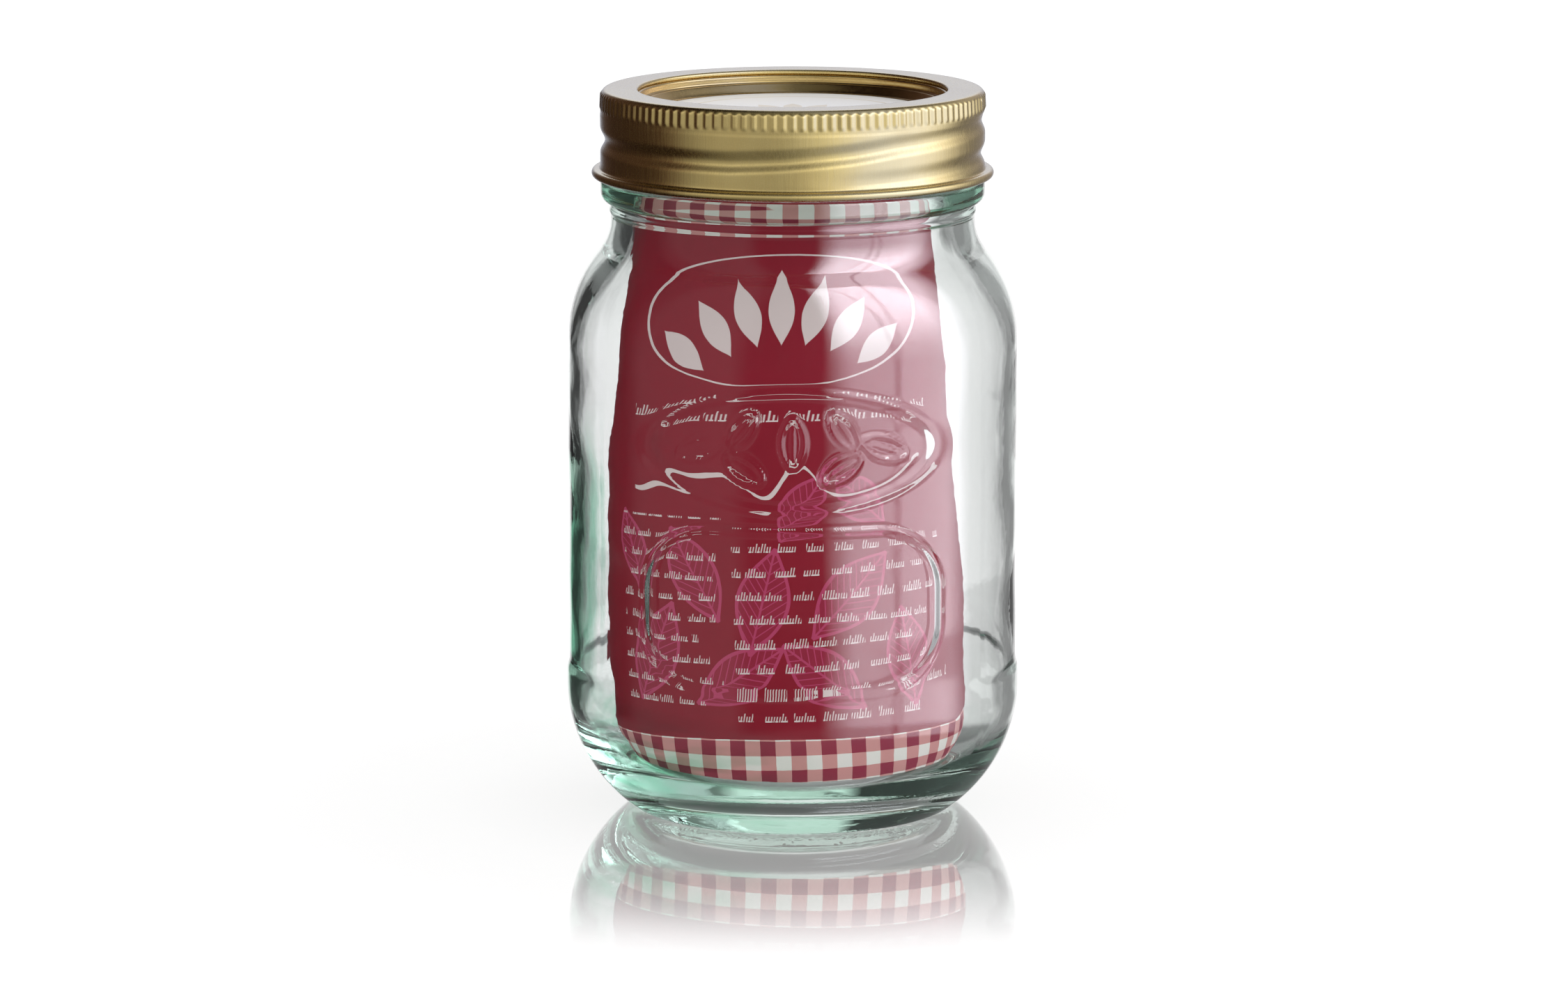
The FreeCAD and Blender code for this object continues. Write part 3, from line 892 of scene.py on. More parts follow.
@dataclass
class GlassJar:
    """The jar itself: a heavy base, a straight body, a round shoulder and a screw finish."""

    body_radius: float = 42.4
    heel_bulge: float = 0.5
    heel_top: float = 24.0
    heel_side: float = 2.0
    heel_step: float = 4.6
    foot_inset: float = 14.14
    foot_radius: float = 4.0
    foot_flat: float = 1.2
    push_up: float = 2.6
    push_up_radius: float = 8.0
    shoulder: float = 26.0
    neck_curve: float = 10.0
    wall: float = 2.2
    floor: float = 5.8
    inner_heel: float = 16.0
    inner_shoulder: float = 24.0
    inner_neck: float = 12.0
    neck_radius: float = 34.3
    mouth_radius: float = 30.0
    finish_height: float = 22.4
    bead_proud: float = 1.9
    bead_height: float = 4.5
    bead_over: float = 0.8
    lift: float = 0.8
    ring_height: float = 1.4
    ring_radius: float = 1.05
    rim_round: float = 1.4
    sectors: tuple[Sector, ...] = (Sector(116.0, 8, 27), Sector(244.0, 7, 10))
    frame_half_width: float = 27.3
    frame_bottom: float = 29.4
    frame_top: float = 60.0
    frame_corner: float = 12.0
    ease_height: float = 20.0
    ease_reach: float = 3.6
    ease_fade: float = 0.36
    frame_height: float = 0.5
    frame_ridge: float = 0.62
    medallion_middle: float = 75.0
    medallion_half_width: float = 26.5
    medallion_half_height: float = 11.0
    leaves: tuple[MouldedLeaf, ...] = (
        MouldedLeaf(-17.0, 75.2, 0.35, 9.5, 4.0),
        MouldedLeaf(-9.5, 78.6, 0.95, 9.0, 3.8),
        MouldedLeaf(-9.0, 71.6, -0.55, 9.0, 3.8),
        MouldedLeaf(0.0, 76.5, 1.5708, 10.0, 4.4),
        MouldedLeaf(9.5, 78.6, 2.19, 9.0, 3.8),
        MouldedLeaf(9.0, 71.6, 3.69, 9.0, 3.8),
        MouldedLeaf(17.0, 75.2, 2.79, 9.5, 4.0),
    )
    thread_radius: float = 1.05
    thread_bottom: float = 125.4
    thread_pitch: float = 5.1
    thread_turns: float = 1.3

    def __post_init__(self) -> None:
        """Reads the rim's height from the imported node."""
        self.rim = node_size("glass_jar")[1]
        self.neck = self.rim - self.finish_height

    @staticmethod
    def _curve_rise(step: float, upper: float, lower: float) -> float:
        """The height of an S-curve of two arcs that steps sideways."""
        total = upper + lower
        return math.sqrt(total * total - (total - step) ** 2)

    def _shoulder(self, wide: float, narrow: float, convex: float, concave: float) -> tuple[
        float, float, float
    ]:
        """The foot of the shoulder's S-curve, and the place where its arcs meet."""
        foot = self.neck - self._curve_rise(wide - narrow, convex, concave)
        share = convex / (convex + concave)
        return foot, wide - (wide - narrow) * share, foot + (self.neck - foot) * share

    def _outside(self) -> Section:
        """The section from the middle of the base, round the outside, to the rim."""
        heel = self.body_radius + self.heel_bulge
        foot_across = heel - self.foot_inset
        drop = self.heel_top - self.foot_radius
        heel_arc = (self.foot_inset**2 + drop**2 - self.foot_radius**2) / (
            2.0 * (self.foot_inset - self.foot_radius)
        )
        stretch = heel_arc / (heel_arc - self.foot_radius)
        meet = (
            heel - heel_arc + (heel_arc - self.foot_inset) * stretch,
            self.heel_top - drop * stretch,
        )
        run = math.sqrt(2.0 * self.push_up_radius * self.push_up - self.push_up**2)
        step_foot = self.heel_top + self.heel_side
        panel = step_foot + self._curve_rise(self.heel_bulge, self.heel_step, self.heel_step)
        foot, turn_across, turn_up = self._shoulder(
            self.body_radius, self.neck_radius, self.shoulder, self.neck_curve
        )
        ring = self.neck + self.lift
        bead = ring + self.ring_height + self.lift
        bead_top = bead + self.bead_height
        bead_radius = self.neck_radius + self.bead_proud
        section = Section([(0.0, self.push_up)])
        section.line(foot_across - self.foot_flat - run, self.push_up, 4)
        section.arc(foot_across - self.foot_flat, 0.0, self.push_up_radius, -1, 8)
        section.line(foot_across, 0.0, 2)
        section.arc(*meet, self.foot_radius, 1, 6)
        section.arc(heel, self.heel_top, heel_arc, 1, 26)
        section.line(heel, step_foot, 2)
        section.arc(self.body_radius + self.heel_bulge / 2.0, (step_foot + panel) / 2.0,
                    self.heel_step, 1, 3)
        section.arc(self.body_radius, panel, self.heel_step, -1, 3)
        section.line(self.body_radius, 62.0, 72)
        section.line(self.body_radius, foot, 48)
        section.arc(turn_across, turn_up, self.shoulder, 1, 20)
        section.arc(self.neck_radius, self.neck, self.neck_curve, -1, 10)
        section.line(self.neck_radius, ring)
        section.arc(self.neck_radius, ring + self.ring_height, self.ring_radius, 1, 7)
        section.line(self.neck_radius, bead)
        section.arc(bead_radius, bead + self.bead_proud, self.bead_proud, 1, 8)
        section.line(bead_radius, bead_top - self.bead_over, 3)
        section.arc(bead_radius - self.bead_over, bead_top, self.bead_over, 1, 4)
        section.line(self.neck_radius, bead_top)
        section.line(self.neck_radius, self.rim - self.rim_round, 26)
        section.arc(self.neck_radius - self.rim_round, self.rim, self.rim_round, 1, 5)
        return section

    def _inside(self, section: Section) -> None:
        """Carries the section on from the rim, down the inside, to the middle of the floor."""
        cavity = self.body_radius - self.wall
        foot, turn_across, turn_up = self._shoulder(
            cavity, self.mouth_radius, self.inner_shoulder, self.inner_neck
        )
        section.line(self.mouth_radius + self.rim_round, self.rim)
        section.arc(self.mouth_radius, self.rim - self.rim_round, self.rim_round, 1, 5)
        section.line(self.mouth_radius, self.neck, 6)
        section.arc(turn_across, turn_up, self.inner_neck, 1, 8)
        section.arc(cavity, foot, self.inner_shoulder, -1, 14)
        section.line(cavity, self.floor + self.inner_heel, 22)
        section.arc(cavity - self.inner_heel, self.floor, self.inner_heel, -1, 20)
        section.line(0.0, self.floor, 6)

    @staticmethod
    def _waves(bearing: np.ndarray, up: np.ndarray, terms: Sequence[tuple]) -> np.ndarray:
        """A sum of slow waves round and along the glass: (depth, round, along, start)."""
        return sum(
            depth * np.sin(times * bearing + along * up + start)
            for depth, times, along, start in terms
        )

    def _thread(self, bearing: np.ndarray, up: np.ndarray) -> np.ndarray:
        """The screw thread on the finish, which fades in and out at its ends."""
        height = np.zeros_like(up)
        for lap in range(-1, 3):
            turned = (bearing + FULL_TURN * lap) / FULL_TURN
            middle = self.thread_bottom + self.thread_pitch * turned
            fade = np.clip(np.minimum(turned, self.thread_turns - turned) * 12.0, 0.0, 1.0)
            height = np.maximum(height, fade * ridge(up - middle, self.thread_radius, 0.85))
        return height

    def _relief(
        self, rows: np.ndarray, bearing: np.ndarray, across: np.ndarray, up: np.ndarray
    ) -> tuple[np.ndarray, np.ndarray]:
        """The moulded frame, medallion and thread, and the glass's slight unevenness."""
        outside = rows < self.rim_row
        front = np.cos(bearing) > 0.0
        aside = self.body_radius * np.sin(bearing)
        middle = (self.frame_bottom + self.frame_top) / 2.0
        border = rounded_box(
            aside, up - middle, self.frame_half_width,
            (self.frame_top - self.frame_bottom) / 2.0, self.frame_corner,
        )
        raised = ridge(border, self.frame_height, self.frame_ridge)
        level = up - self.medallion_middle
        oval = np.hypot(aside / self.medallion_half_width, level / self.medallion_half_height)
        raised = np.maximum(
            raised, ridge((oval - 1.0) * self.medallion_half_height, self.frame_height, 0.75)
        )
        for leaf in self.leaves:
            raised = np.maximum(raised, self.frame_height * leaf.relief(aside, up))
        raised = raised * front * (across > self.body_radius - 1.5)
        thread = self._thread(bearing, up) * (up > self.neck + 8.0) * (up < self.rim - 1.8)
        slow = self._waves(
            bearing, up,
            ((0.05, 1, 0.21, 0.4), (0.035, 2, -0.13, 1.9), (0.03, 3, 0.34, 2.6), (0.02, 5, 0.5, 0.3)),
        )
        straight = np.clip((up - 8.0) / 14.0, 0.0, 1.0) * np.clip((self.neck - up) / 10.0, 0.0, 1.0)
        outer = across + raised + thread + slow * straight
        limit = self.body_radius + self.heel_bulge
        facing = np.clip(self.ease_reach - np.abs(bearing) / self.ease_fade, 0.0, 1.0)
        facing = facing * (across > self.body_radius - 0.2)
        near_heel = (up >= self.heel_top) & (up < self.heel_top + self.ease_height)
        climbed = np.clip((up - self.heel_top) / self.ease_height, 0.0, 1.0)
        eased = self.body_radius + self.heel_bulge * (0.5 + 0.5 * np.cos(math.pi * climbed))
        outer = np.where(near_heel, outer + (eased - across) * facing, outer)
        outer = np.minimum(outer, limit)
        wall = self._waves(
            bearing, up,
            ((0.09, 1, 0.11, 1.1), (0.07, 2, -0.17, 0.2), (0.05, 3, 0.23, 2.2),
             (0.03, 4, -0.30, 4.0), (0.02, 7, 0.15, 5.2)),
        )
        inner = across + wall * np.clip((up - 8.0) / 20.0, 0.0, 1.0) * np.clip(
            (self.neck + 4.0 - up) / 16.0, 0.0, 1.0
        )
        return np.where(outside, outer, inner), up

    def build(self, glass: bpy.types.Material) -> bpy.types.Object:
        """Turns, moulds and dresses the jar."""
        section = self._outside()
        self.rim_row = len(section.corners)
        self._inside(section)
        piece = turn_section("jar_glass", section, self.sectors)
        press_relief(piece, self._relief)
        finish_piece(piece, "glass_jar", [glass], 60.0)
        return piece


# ------------------------------------------------------------------ lid


@dataclass
class LidDisc:
    """The flat disc: flange, turned-down lip, stepped recess and centre panel."""

    sheet: float = 0.25
    lip_bottom: float = 135.4
    recess_radius: float = 28.7
    step_width: float = 0.9
    step_depth: float = 1.5
    slope_width: float = 1.3
    panel_drop: float = 1.6
    sector: Sector = Sector(360.0, 12, 20)

    def build(self, gold: bpy.types.Material) -> bpy.types.Object:
        """Turns and dresses the disc."""
        _, top, edge = node_size("lid_disc")
        gauge = self.sheet
        step_radius = self.recess_radius - self.step_width
        panel_radius = step_radius - self.slope_width
        step = top - self.step_depth
        panel = step - self.panel_drop
        section = Section([(0.0, panel)])
        section.line(panel_radius - 0.5, panel, 10)
        section.arc(panel_radius + 0.12, panel + 0.2, 0.7, 1, 4)
        section.line(step_radius - 0.15, step - 0.2, 3)
        section.arc(step_radius + 0.3, step, 0.5, -1, 4)
        section.line(self.recess_radius - 0.35, step, 2)
        section.arc(self.recess_radius, step + 0.35, 0.35, 1, 4)
        section.line(self.recess_radius, top - 0.4, 3)
        section.arc(self.recess_radius + 0.4, top, 0.4, -1, 4)
        section.line(edge - 0.3, top, 6)
        section.arc(edge, top - 0.3, 0.3, -1, 4)
        section.line(edge, self.lip_bottom)
        section.line(edge - gauge, self.lip_bottom)
        section.line(edge - gauge, top - gauge)
        section.line(self.recess_radius + gauge, top - gauge, 4)
        section.line(self.recess_radius + gauge, step - gauge, 3)
        section.line(step_radius + gauge, step - gauge, 2)
        section.line(panel_radius + gauge, panel - gauge, 3)
        section.line(0.0, panel - gauge, 8)
        piece = turn_section("disc_panel", section, (self.sector,))
        finish_piece(piece, "lid_disc", [gold], 50.0)
        return piece


@dataclass(frozen=True)
class GroovePoint:
    """Where the rolled thread groove runs: bearing in degrees, height, and depth."""

    degrees: float
    height: float
    depth: float


@dataclass
class ScrewBand:
    """The screw band: a hemmed top ring, a knurled edge, a rolled thread and a curled foot."""

    sheet: float = 0.3
    skirt_radius: float = 36.25
    opening_radius: float = 29.1
    hem_width: float = 1.6
    edge_radius: float = 1.0
    curl: float = 0.8
    knurls: int = 125
    knurl_depth: float = 0.26
    knurl_bottom: float = 133.3
    knurl_top: float = 136.6
    sector: Sector = Sector(360.0, 25, 30)
    groove: tuple[GroovePoint, ...] = (
        GroovePoint(5.0, 123.3, 0.0),
        GroovePoint(32.0, 123.7, 0.45),
        GroovePoint(64.0, 124.5, 0.75),
        GroovePoint(90.0, 125.1, 0.8),
        GroovePoint(150.0, 126.2, 0.85),
        GroovePoint(210.0, 127.0, 0.9),
        GroovePoint(270.0, 127.5, 0.9),
        GroovePoint(302.0, 127.2, 0.9),
        GroovePoint(341.0, 127.2, 0.85),
        GroovePoint(358.0, 127.8, 0.75),
        GroovePoint(378.0, 128.8, 0.7),
        GroovePoint(392.0, 129.8, 0.7),
        GroovePoint(424.0, 130.9, 0.7),
        GroovePoint(450.0, 131.3, 0.7),
        GroovePoint(500.0, 131.9, 0.35),
        GroovePoint(540.0, 132.2, 0.0),
    )

    def _section(self) -> Section:
        """The band's closed section, outside first."""
        bottom, top, _ = node_size("screw_band")
        gauge, curl, outer = self.sheet, self.curl, self.skirt_radius
        flange = node_size("lid_disc")[1]
        nose = (top - flange) / 2.0
        inner = outer - gauge
        edge = self.edge_radius
        section = Section([(self.opening_radius + nose, flange)])
        section.arc(self.opening_radius, flange + nose, nose, -1, 6)
        section.arc(self.opening_radius + nose, top, nose, -1, 6)
        section.line(outer - self.knurl_depth - edge, top, 8)
        section.arc(outer - self.knurl_depth, top - edge, edge, -1, 8)
        section.line(outer - self.knurl_depth / 2.0, top - edge - 2.7, 7)
        section.line(outer, top - edge - 3.2, 2)
        section.line(outer, bottom + 2.0 * curl + 0.35, 34)
        section.arc(outer + 0.35, bottom + 2.0 * curl, 0.35, 1, 3)
        section.line(outer + curl, bottom + 2.0 * curl, 1)
        section.arc(outer + 2.0 * curl, bottom + curl, curl, -1, 7)
        section.arc(outer + curl, bottom, curl, -1, 7)
        section.line(inner, bottom + 0.1, 1)
        section.line(inner, top - edge - 3.2, 30)
        section.line(inner - self.knurl_depth, top - edge - 2.7, 1)
        section.line(inner - self.knurl_depth, top - edge, 2)
        section.arc(outer - self.knurl_depth - edge, top - gauge, edge - gauge, 1, 3)
        section.line(self.opening_radius + self.hem_width, top - gauge, 1)
        section.line(self.opening_radius + self.hem_width, flange, 1)
        section.line(self.opening_radius + nose, flange, 1)
        return section

    def _groove(self, bearing: np.ndarray, up: np.ndarray) -> np.ndarray:
        """How far the thread roller has pressed the sheet in, round both laps of the thread."""
        turned = np.array([point.degrees for point in self.groove])
        heights = np.array([point.height for point in self.groove])
        depths = np.array([point.depth for point in self.groove])
        pressed = np.zeros_like(up)
        for lap in range(0, 3):
            degrees = np.degrees(bearing) + 360.0 * lap
            middle = np.interp(degrees, turned, heights)
            depth = np.interp(degrees, turned, depths, left=0.0, right=0.0)
            above = up - middle
            flank = np.where(above > 0.0, 2.7, 2.3)
            share = np.clip(np.abs(above) / flank, 0.0, 1.0)
            slope = 0.5 + 0.5 * np.cos(math.pi * share)
            pressed = np.maximum(pressed, depth * slope)
        return pressed

    def _relief(
        self, rows: np.ndarray, bearing: np.ndarray, across: np.ndarray, up: np.ndarray
    ) -> tuple[np.ndarray, np.ndarray]:
        """The knurl, the thread groove and the slight dents of a thin rolled sheet."""
        skirt = (across > self.skirt_radius - 0.6) & (across < self.skirt_radius + 0.05)
        below_knurl = np.clip((self.knurl_bottom + 0.6 - up) / 1.2, 0.0, 1.0)
        above_curl = np.clip((up - 122.3) / 0.8, 0.0, 1.0)
        pressed = self._groove(bearing, up) * skirt * below_knurl * above_curl
        wave = np.cos(bearing * self.knurls)
        crest = np.clip(0.5 + 1.3 * wave, 0.0, 1.0)
        reach = np.clip((up - self.knurl_bottom) / 0.35, 0.0, 1.0) * np.clip(
            (self.knurl_top - up) / 0.5, 0.0, 1.0
        )
        outer_face = rows < self.inner_row
        edge_zone = across > self.skirt_radius - self.knurl_depth - 0.7
        uneven = 0.86 + 0.14 * np.sin(bearing * 17.0 + 1.0) * np.sin(bearing * 41.0)
        ribs = self.knurl_depth * crest * uneven * reach * outer_face * edge_zone
        bulge = 0.12 * np.sin(bearing * 2.0 + 0.4) * np.clip((133.0 - up) / 4.0, 0.0, 1.0)
        neck = 0.12 * np.clip(1.0 - np.abs(up - self.knurl_bottom + 0.55) / 0.5, 0.0, 1.0) * skirt
        moved = across - pressed + ribs - neck
        return np.where(skirt, moved + bulge * above_curl * below_knurl, moved), up

    def build(self, gold: bpy.types.Material) -> bpy.types.Object:
        """Turns, rolls and dresses the band."""
        section = self._section()
        lowest = min(corner[1] for corner in section.corners)
        self.inner_row = next(
            row for row, corner in enumerate(section.corners) if corner[1] == lowest
        )
        piece = turn_section("band_shell", section, (self.sector,))
        press_relief(piece, self._relief)
        finish_piece(piece, "screw_band", [gold], 42.0)
        return piece


# ------------------------------------------------------------------ recipe card


@dataclass(frozen=True)
class RollWidth:
    """The roll at one height: half its width, its shift to the left and its front's set-back."""

    height: float
    half_width: float
    shift: float
    set_back: float


@dataclass(frozen=True)
class PrintedLeaf:
    """A leaf in the card's line drawing: its middle, turn, length and width."""

    across: float
    up: float
    turn: float
    length: float
    width: float


@dataclass(frozen=True)
class CardPrint:
    """The card's generic print: a dark red field, gingham borders, rows of strokes and leaves."""

    red: Colour = field(default_factory=lambda: paint(150, 2, 38))
    deep_red: Colour = field(default_factory=lambda: paint(139, 1, 32))
    pink: Colour = field(default_factory=lambda: paint(192, 66, 108))
    cream: Colour = field(default_factory=lambda: paint(232, 216, 216))
    check_dark: Colour = field(default_factory=lambda: paint(150, 36, 62))
    check_mid: Colour = field(default_factory=lambda: paint(214, 150, 148))
    check_white: Colour = field(default_factory=lambda: paint(240, 234, 230))
    lean: float = 0.03
    bottom_border: float = 10.2
    top_border: float = 10.4
    column: float = 2.85
    row: float = 3.3
    cartouche_middle: float = 88.6
    cartouche_half_width: float = 27.0
    cartouche_half_height: float = 12.2
    leaves: tuple[PrintedLeaf, ...] = (
        PrintedLeaf(-26.0, 26.0, 1.15, 21.0, 9.5),
        PrintedLeaf(-17.0, 41.0, 2.05, 20.0, 9.0),
        PrintedLeaf(-9.0, 22.0, 0.55, 20.0, 8.5),
        PrintedLeaf(-4.0, 36.0, 1.3, 21.0, 9.5),
        PrintedLeaf(7.0, 21.5, 2.45, 20.0, 9.0),
        PrintedLeaf(12.5, 36.5, 0.8, 22.0, 10.0),
        PrintedLeaf(24.0, 24.0, 1.7, 20.0, 9.0),
        PrintedLeaf(4.0, 53.5, 0.95, 15.0, 7.5),
        PrintedLeaf(15.0, 54.5, 2.35, 14.0, 7.0),
        PrintedLeaf(-31.0, 45.0, 1.9, 16.0, 7.0),
    )
    badge_leaves: tuple[PrintedLeaf, ...] = tuple(
        PrintedLeaf(6.2 * step, 91.0 - 0.8 * step**2, math.pi / 2.0 - 0.3 * step,
                    13.0 - 0.7 * abs(step), 4.8)
        for step in range(-3, 4)
    )

    def _leaf_mask(
        self, wiring: Wiring, effects: SharedEffects, leaves: Sequence[PrintedLeaf],
        across: object, up: object, part: str, line: float,
    ) -> bpy.types.NodeSocket:
        """The ink of several leaves together."""
        ink: object = 0.0
        for leaf in leaves:
            drawn = wiring.use(
                effects.leaf, Across=across, Up=up, Centre_Across=leaf.across,
                Centre_Up=leaf.up, Turn=leaf.turn, Length=leaf.length, Width=leaf.width, Line=line,
            )
            ink = wiring.math("MAXIMUM", ink, drawn.outputs[part])
        return ink

    def _rows(
        self, wiring: Wiring, effects: SharedEffects, across: object, up: object
    ) -> bpy.types.NodeSocket:
        """The two columns of small print and the line under the badge."""
        blocks = (
            dict(Left=-34.0, Right=-11.0, Bottom=16.5, Top=52.0, Pitch=3.9, Height=1.5, Word=4.4,
                 Stroke=0.5),
            dict(Left=-9.5, Right=36.0, Bottom=13.5, Top=49.5, Pitch=4.55, Height=1.75, Word=5.4,
                 Stroke=0.52),
            dict(Left=-33.0, Right=48.0, Bottom=70.0, Top=73.0, Pitch=3.0, Height=2.2, Word=8.0,
                 Stroke=0.9),
        )
        ink: object = 0.0
        for block in blocks:
            drawn = wiring.use(effects.dashes, Across=across, Up=up, **block)
            ink = wiring.math("MAXIMUM", ink, drawn.outputs["Mask"])
        return ink

    def _flourish(self, wiring: Wiring, across: object, up: object) -> bpy.types.NodeSocket:
        """A pen stroke that waves across the card, thick on its way down and thin on its way up."""
        bend = wiring.math("SINE", wiring.math("MULTIPLY", across, 0.19))
        phase = wiring.math("MULTIPLY_ADD", across, 0.30, wiring.math("MULTIPLY", bend, 1.1))
        swing = wiring.math("SINE", phase)
        slow = wiring.math("SINE", wiring.math("MULTIPLY_ADD", across, 0.09, 0.6))
        reach = wiring.math("MULTIPLY_ADD", slow, 1.1, 2.4)
        height = wiring.math("MULTIPLY_ADD", swing, reach, 58.4)
        away = wiring.math("ABSOLUTE", wiring.math("SUBTRACT", up, height))
        width = wiring.math("MULTIPLY_ADD", wiring.math("COSINE", phase), 0.22, 0.48)
        stroke = wiring.math("LESS_THAN", away, width)
        return wiring.math("MULTIPLY", stroke, wiring.window(across, -30.0, 30.0, 0.2))

    def _badge(
        self, wiring: Wiring, effects: SharedEffects, across: object, up: object
    ) -> bpy.types.NodeSocket:
        """An oval line round a spray of pale leaves."""
        dx = wiring.math("DIVIDE", across, self.cartouche_half_width)
        dy = wiring.math(
            "DIVIDE", wiring.math("SUBTRACT", up, self.cartouche_middle), self.cartouche_half_height
        )
        reach = wiring.reach(dx, dy)
        ring = wiring.math(
            "LESS_THAN", wiring.math("ABSOLUTE", wiring.math("SUBTRACT", reach, 1.0)), 0.014
        )
        spray = self._leaf_mask(wiring, effects, self.badge_leaves, across, up, "Fill", 0.3)
        return wiring.math("MAXIMUM", ring, spray)

    def build(self, effects: SharedEffects, width: float, height: float) -> bpy.types.Material:
        """The printed face's material, drawn on the sheet's own flat map.

        Args:
            effects: The shared node groups.
            width: The card's flat width.
            height: The card's height.

        Returns:
            The material.
        """
        material, wiring, surface, _ = new_material("card_print")
        coordinates = wiring.node("ShaderNodeTexCoord")
        flat = wiring.parts(coordinates.outputs["UV"])
        across = wiring.math("MULTIPLY", wiring.math("SUBTRACT", flat[0], 0.5), width)
        up = wiring.math(
            "SUBTRACT",
            wiring.math("MULTIPLY", flat[1], height),
            wiring.math("MULTIPLY", across, self.lean),
        )
        fibre = wiring.use(effects.fibre, Vector=coordinates.outputs["Object"])
        colour = wiring.blend(fibre.outputs["Tone"], self.deep_red, self.red)
        outline = self._leaf_mask(wiring, effects, self.leaves, across, up, "Outline", 0.34)
        filled = self._leaf_mask(wiring, effects, self.leaves, across, up, "Fill", 0.34)
        leaves = wiring.math("MAXIMUM", outline, wiring.math("MULTIPLY", filled, 0.22))
        colour = wiring.blend(wiring.math("MULTIPLY", leaves, 0.9), colour, self.pink)
        pale = wiring.math(
            "MAXIMUM",
            self._rows(wiring, effects, across, up),
            wiring.math(
                "MAXIMUM",
                self._flourish(wiring, across, up),
                self._badge(wiring, effects, across, up),
            ),
        )
        colour = wiring.blend(wiring.math("MULTIPLY", pale, 0.9), colour, self.cream)
        border_top = wiring.math("GREATER_THAN", up, height - self.top_border)
        border_bottom = wiring.math("LESS_THAN", up, self.bottom_border)
        level = wiring.math(
            "ADD",
            wiring.math("MULTIPLY", border_bottom, up),
            wiring.math(
                "MULTIPLY",
                border_top,
                wiring.math("SUBTRACT", up, height - self.top_border - self.row),
            ),
        )
        check = wiring.use(
            effects.gingham, Across=across, Up=level, Column=self.column, Row=self.row
        )
        weave = check.outputs["Weave"]
        cloth = wiring.blend(
            wiring.span(weave, 0.5, 1.0, soft=False),
            wiring.blend(wiring.span(weave, 0.0, 0.5, soft=False), self.check_white, self.check_mid),
            self.check_dark,
        )
        border = wiring.math("MAXIMUM", border_top, border_bottom)
        colour = wiring.blend(border, colour, cloth)
        wiring.feed(surface.inputs["Base Color"], colour)
        surface.inputs["Roughness"].default_value = 0.5
        surface.inputs["Specular IOR Level"].default_value = 0.25
        wiring.bump(surface, fibre.outputs["Tooth"], 0.02, 0.25)
        return material


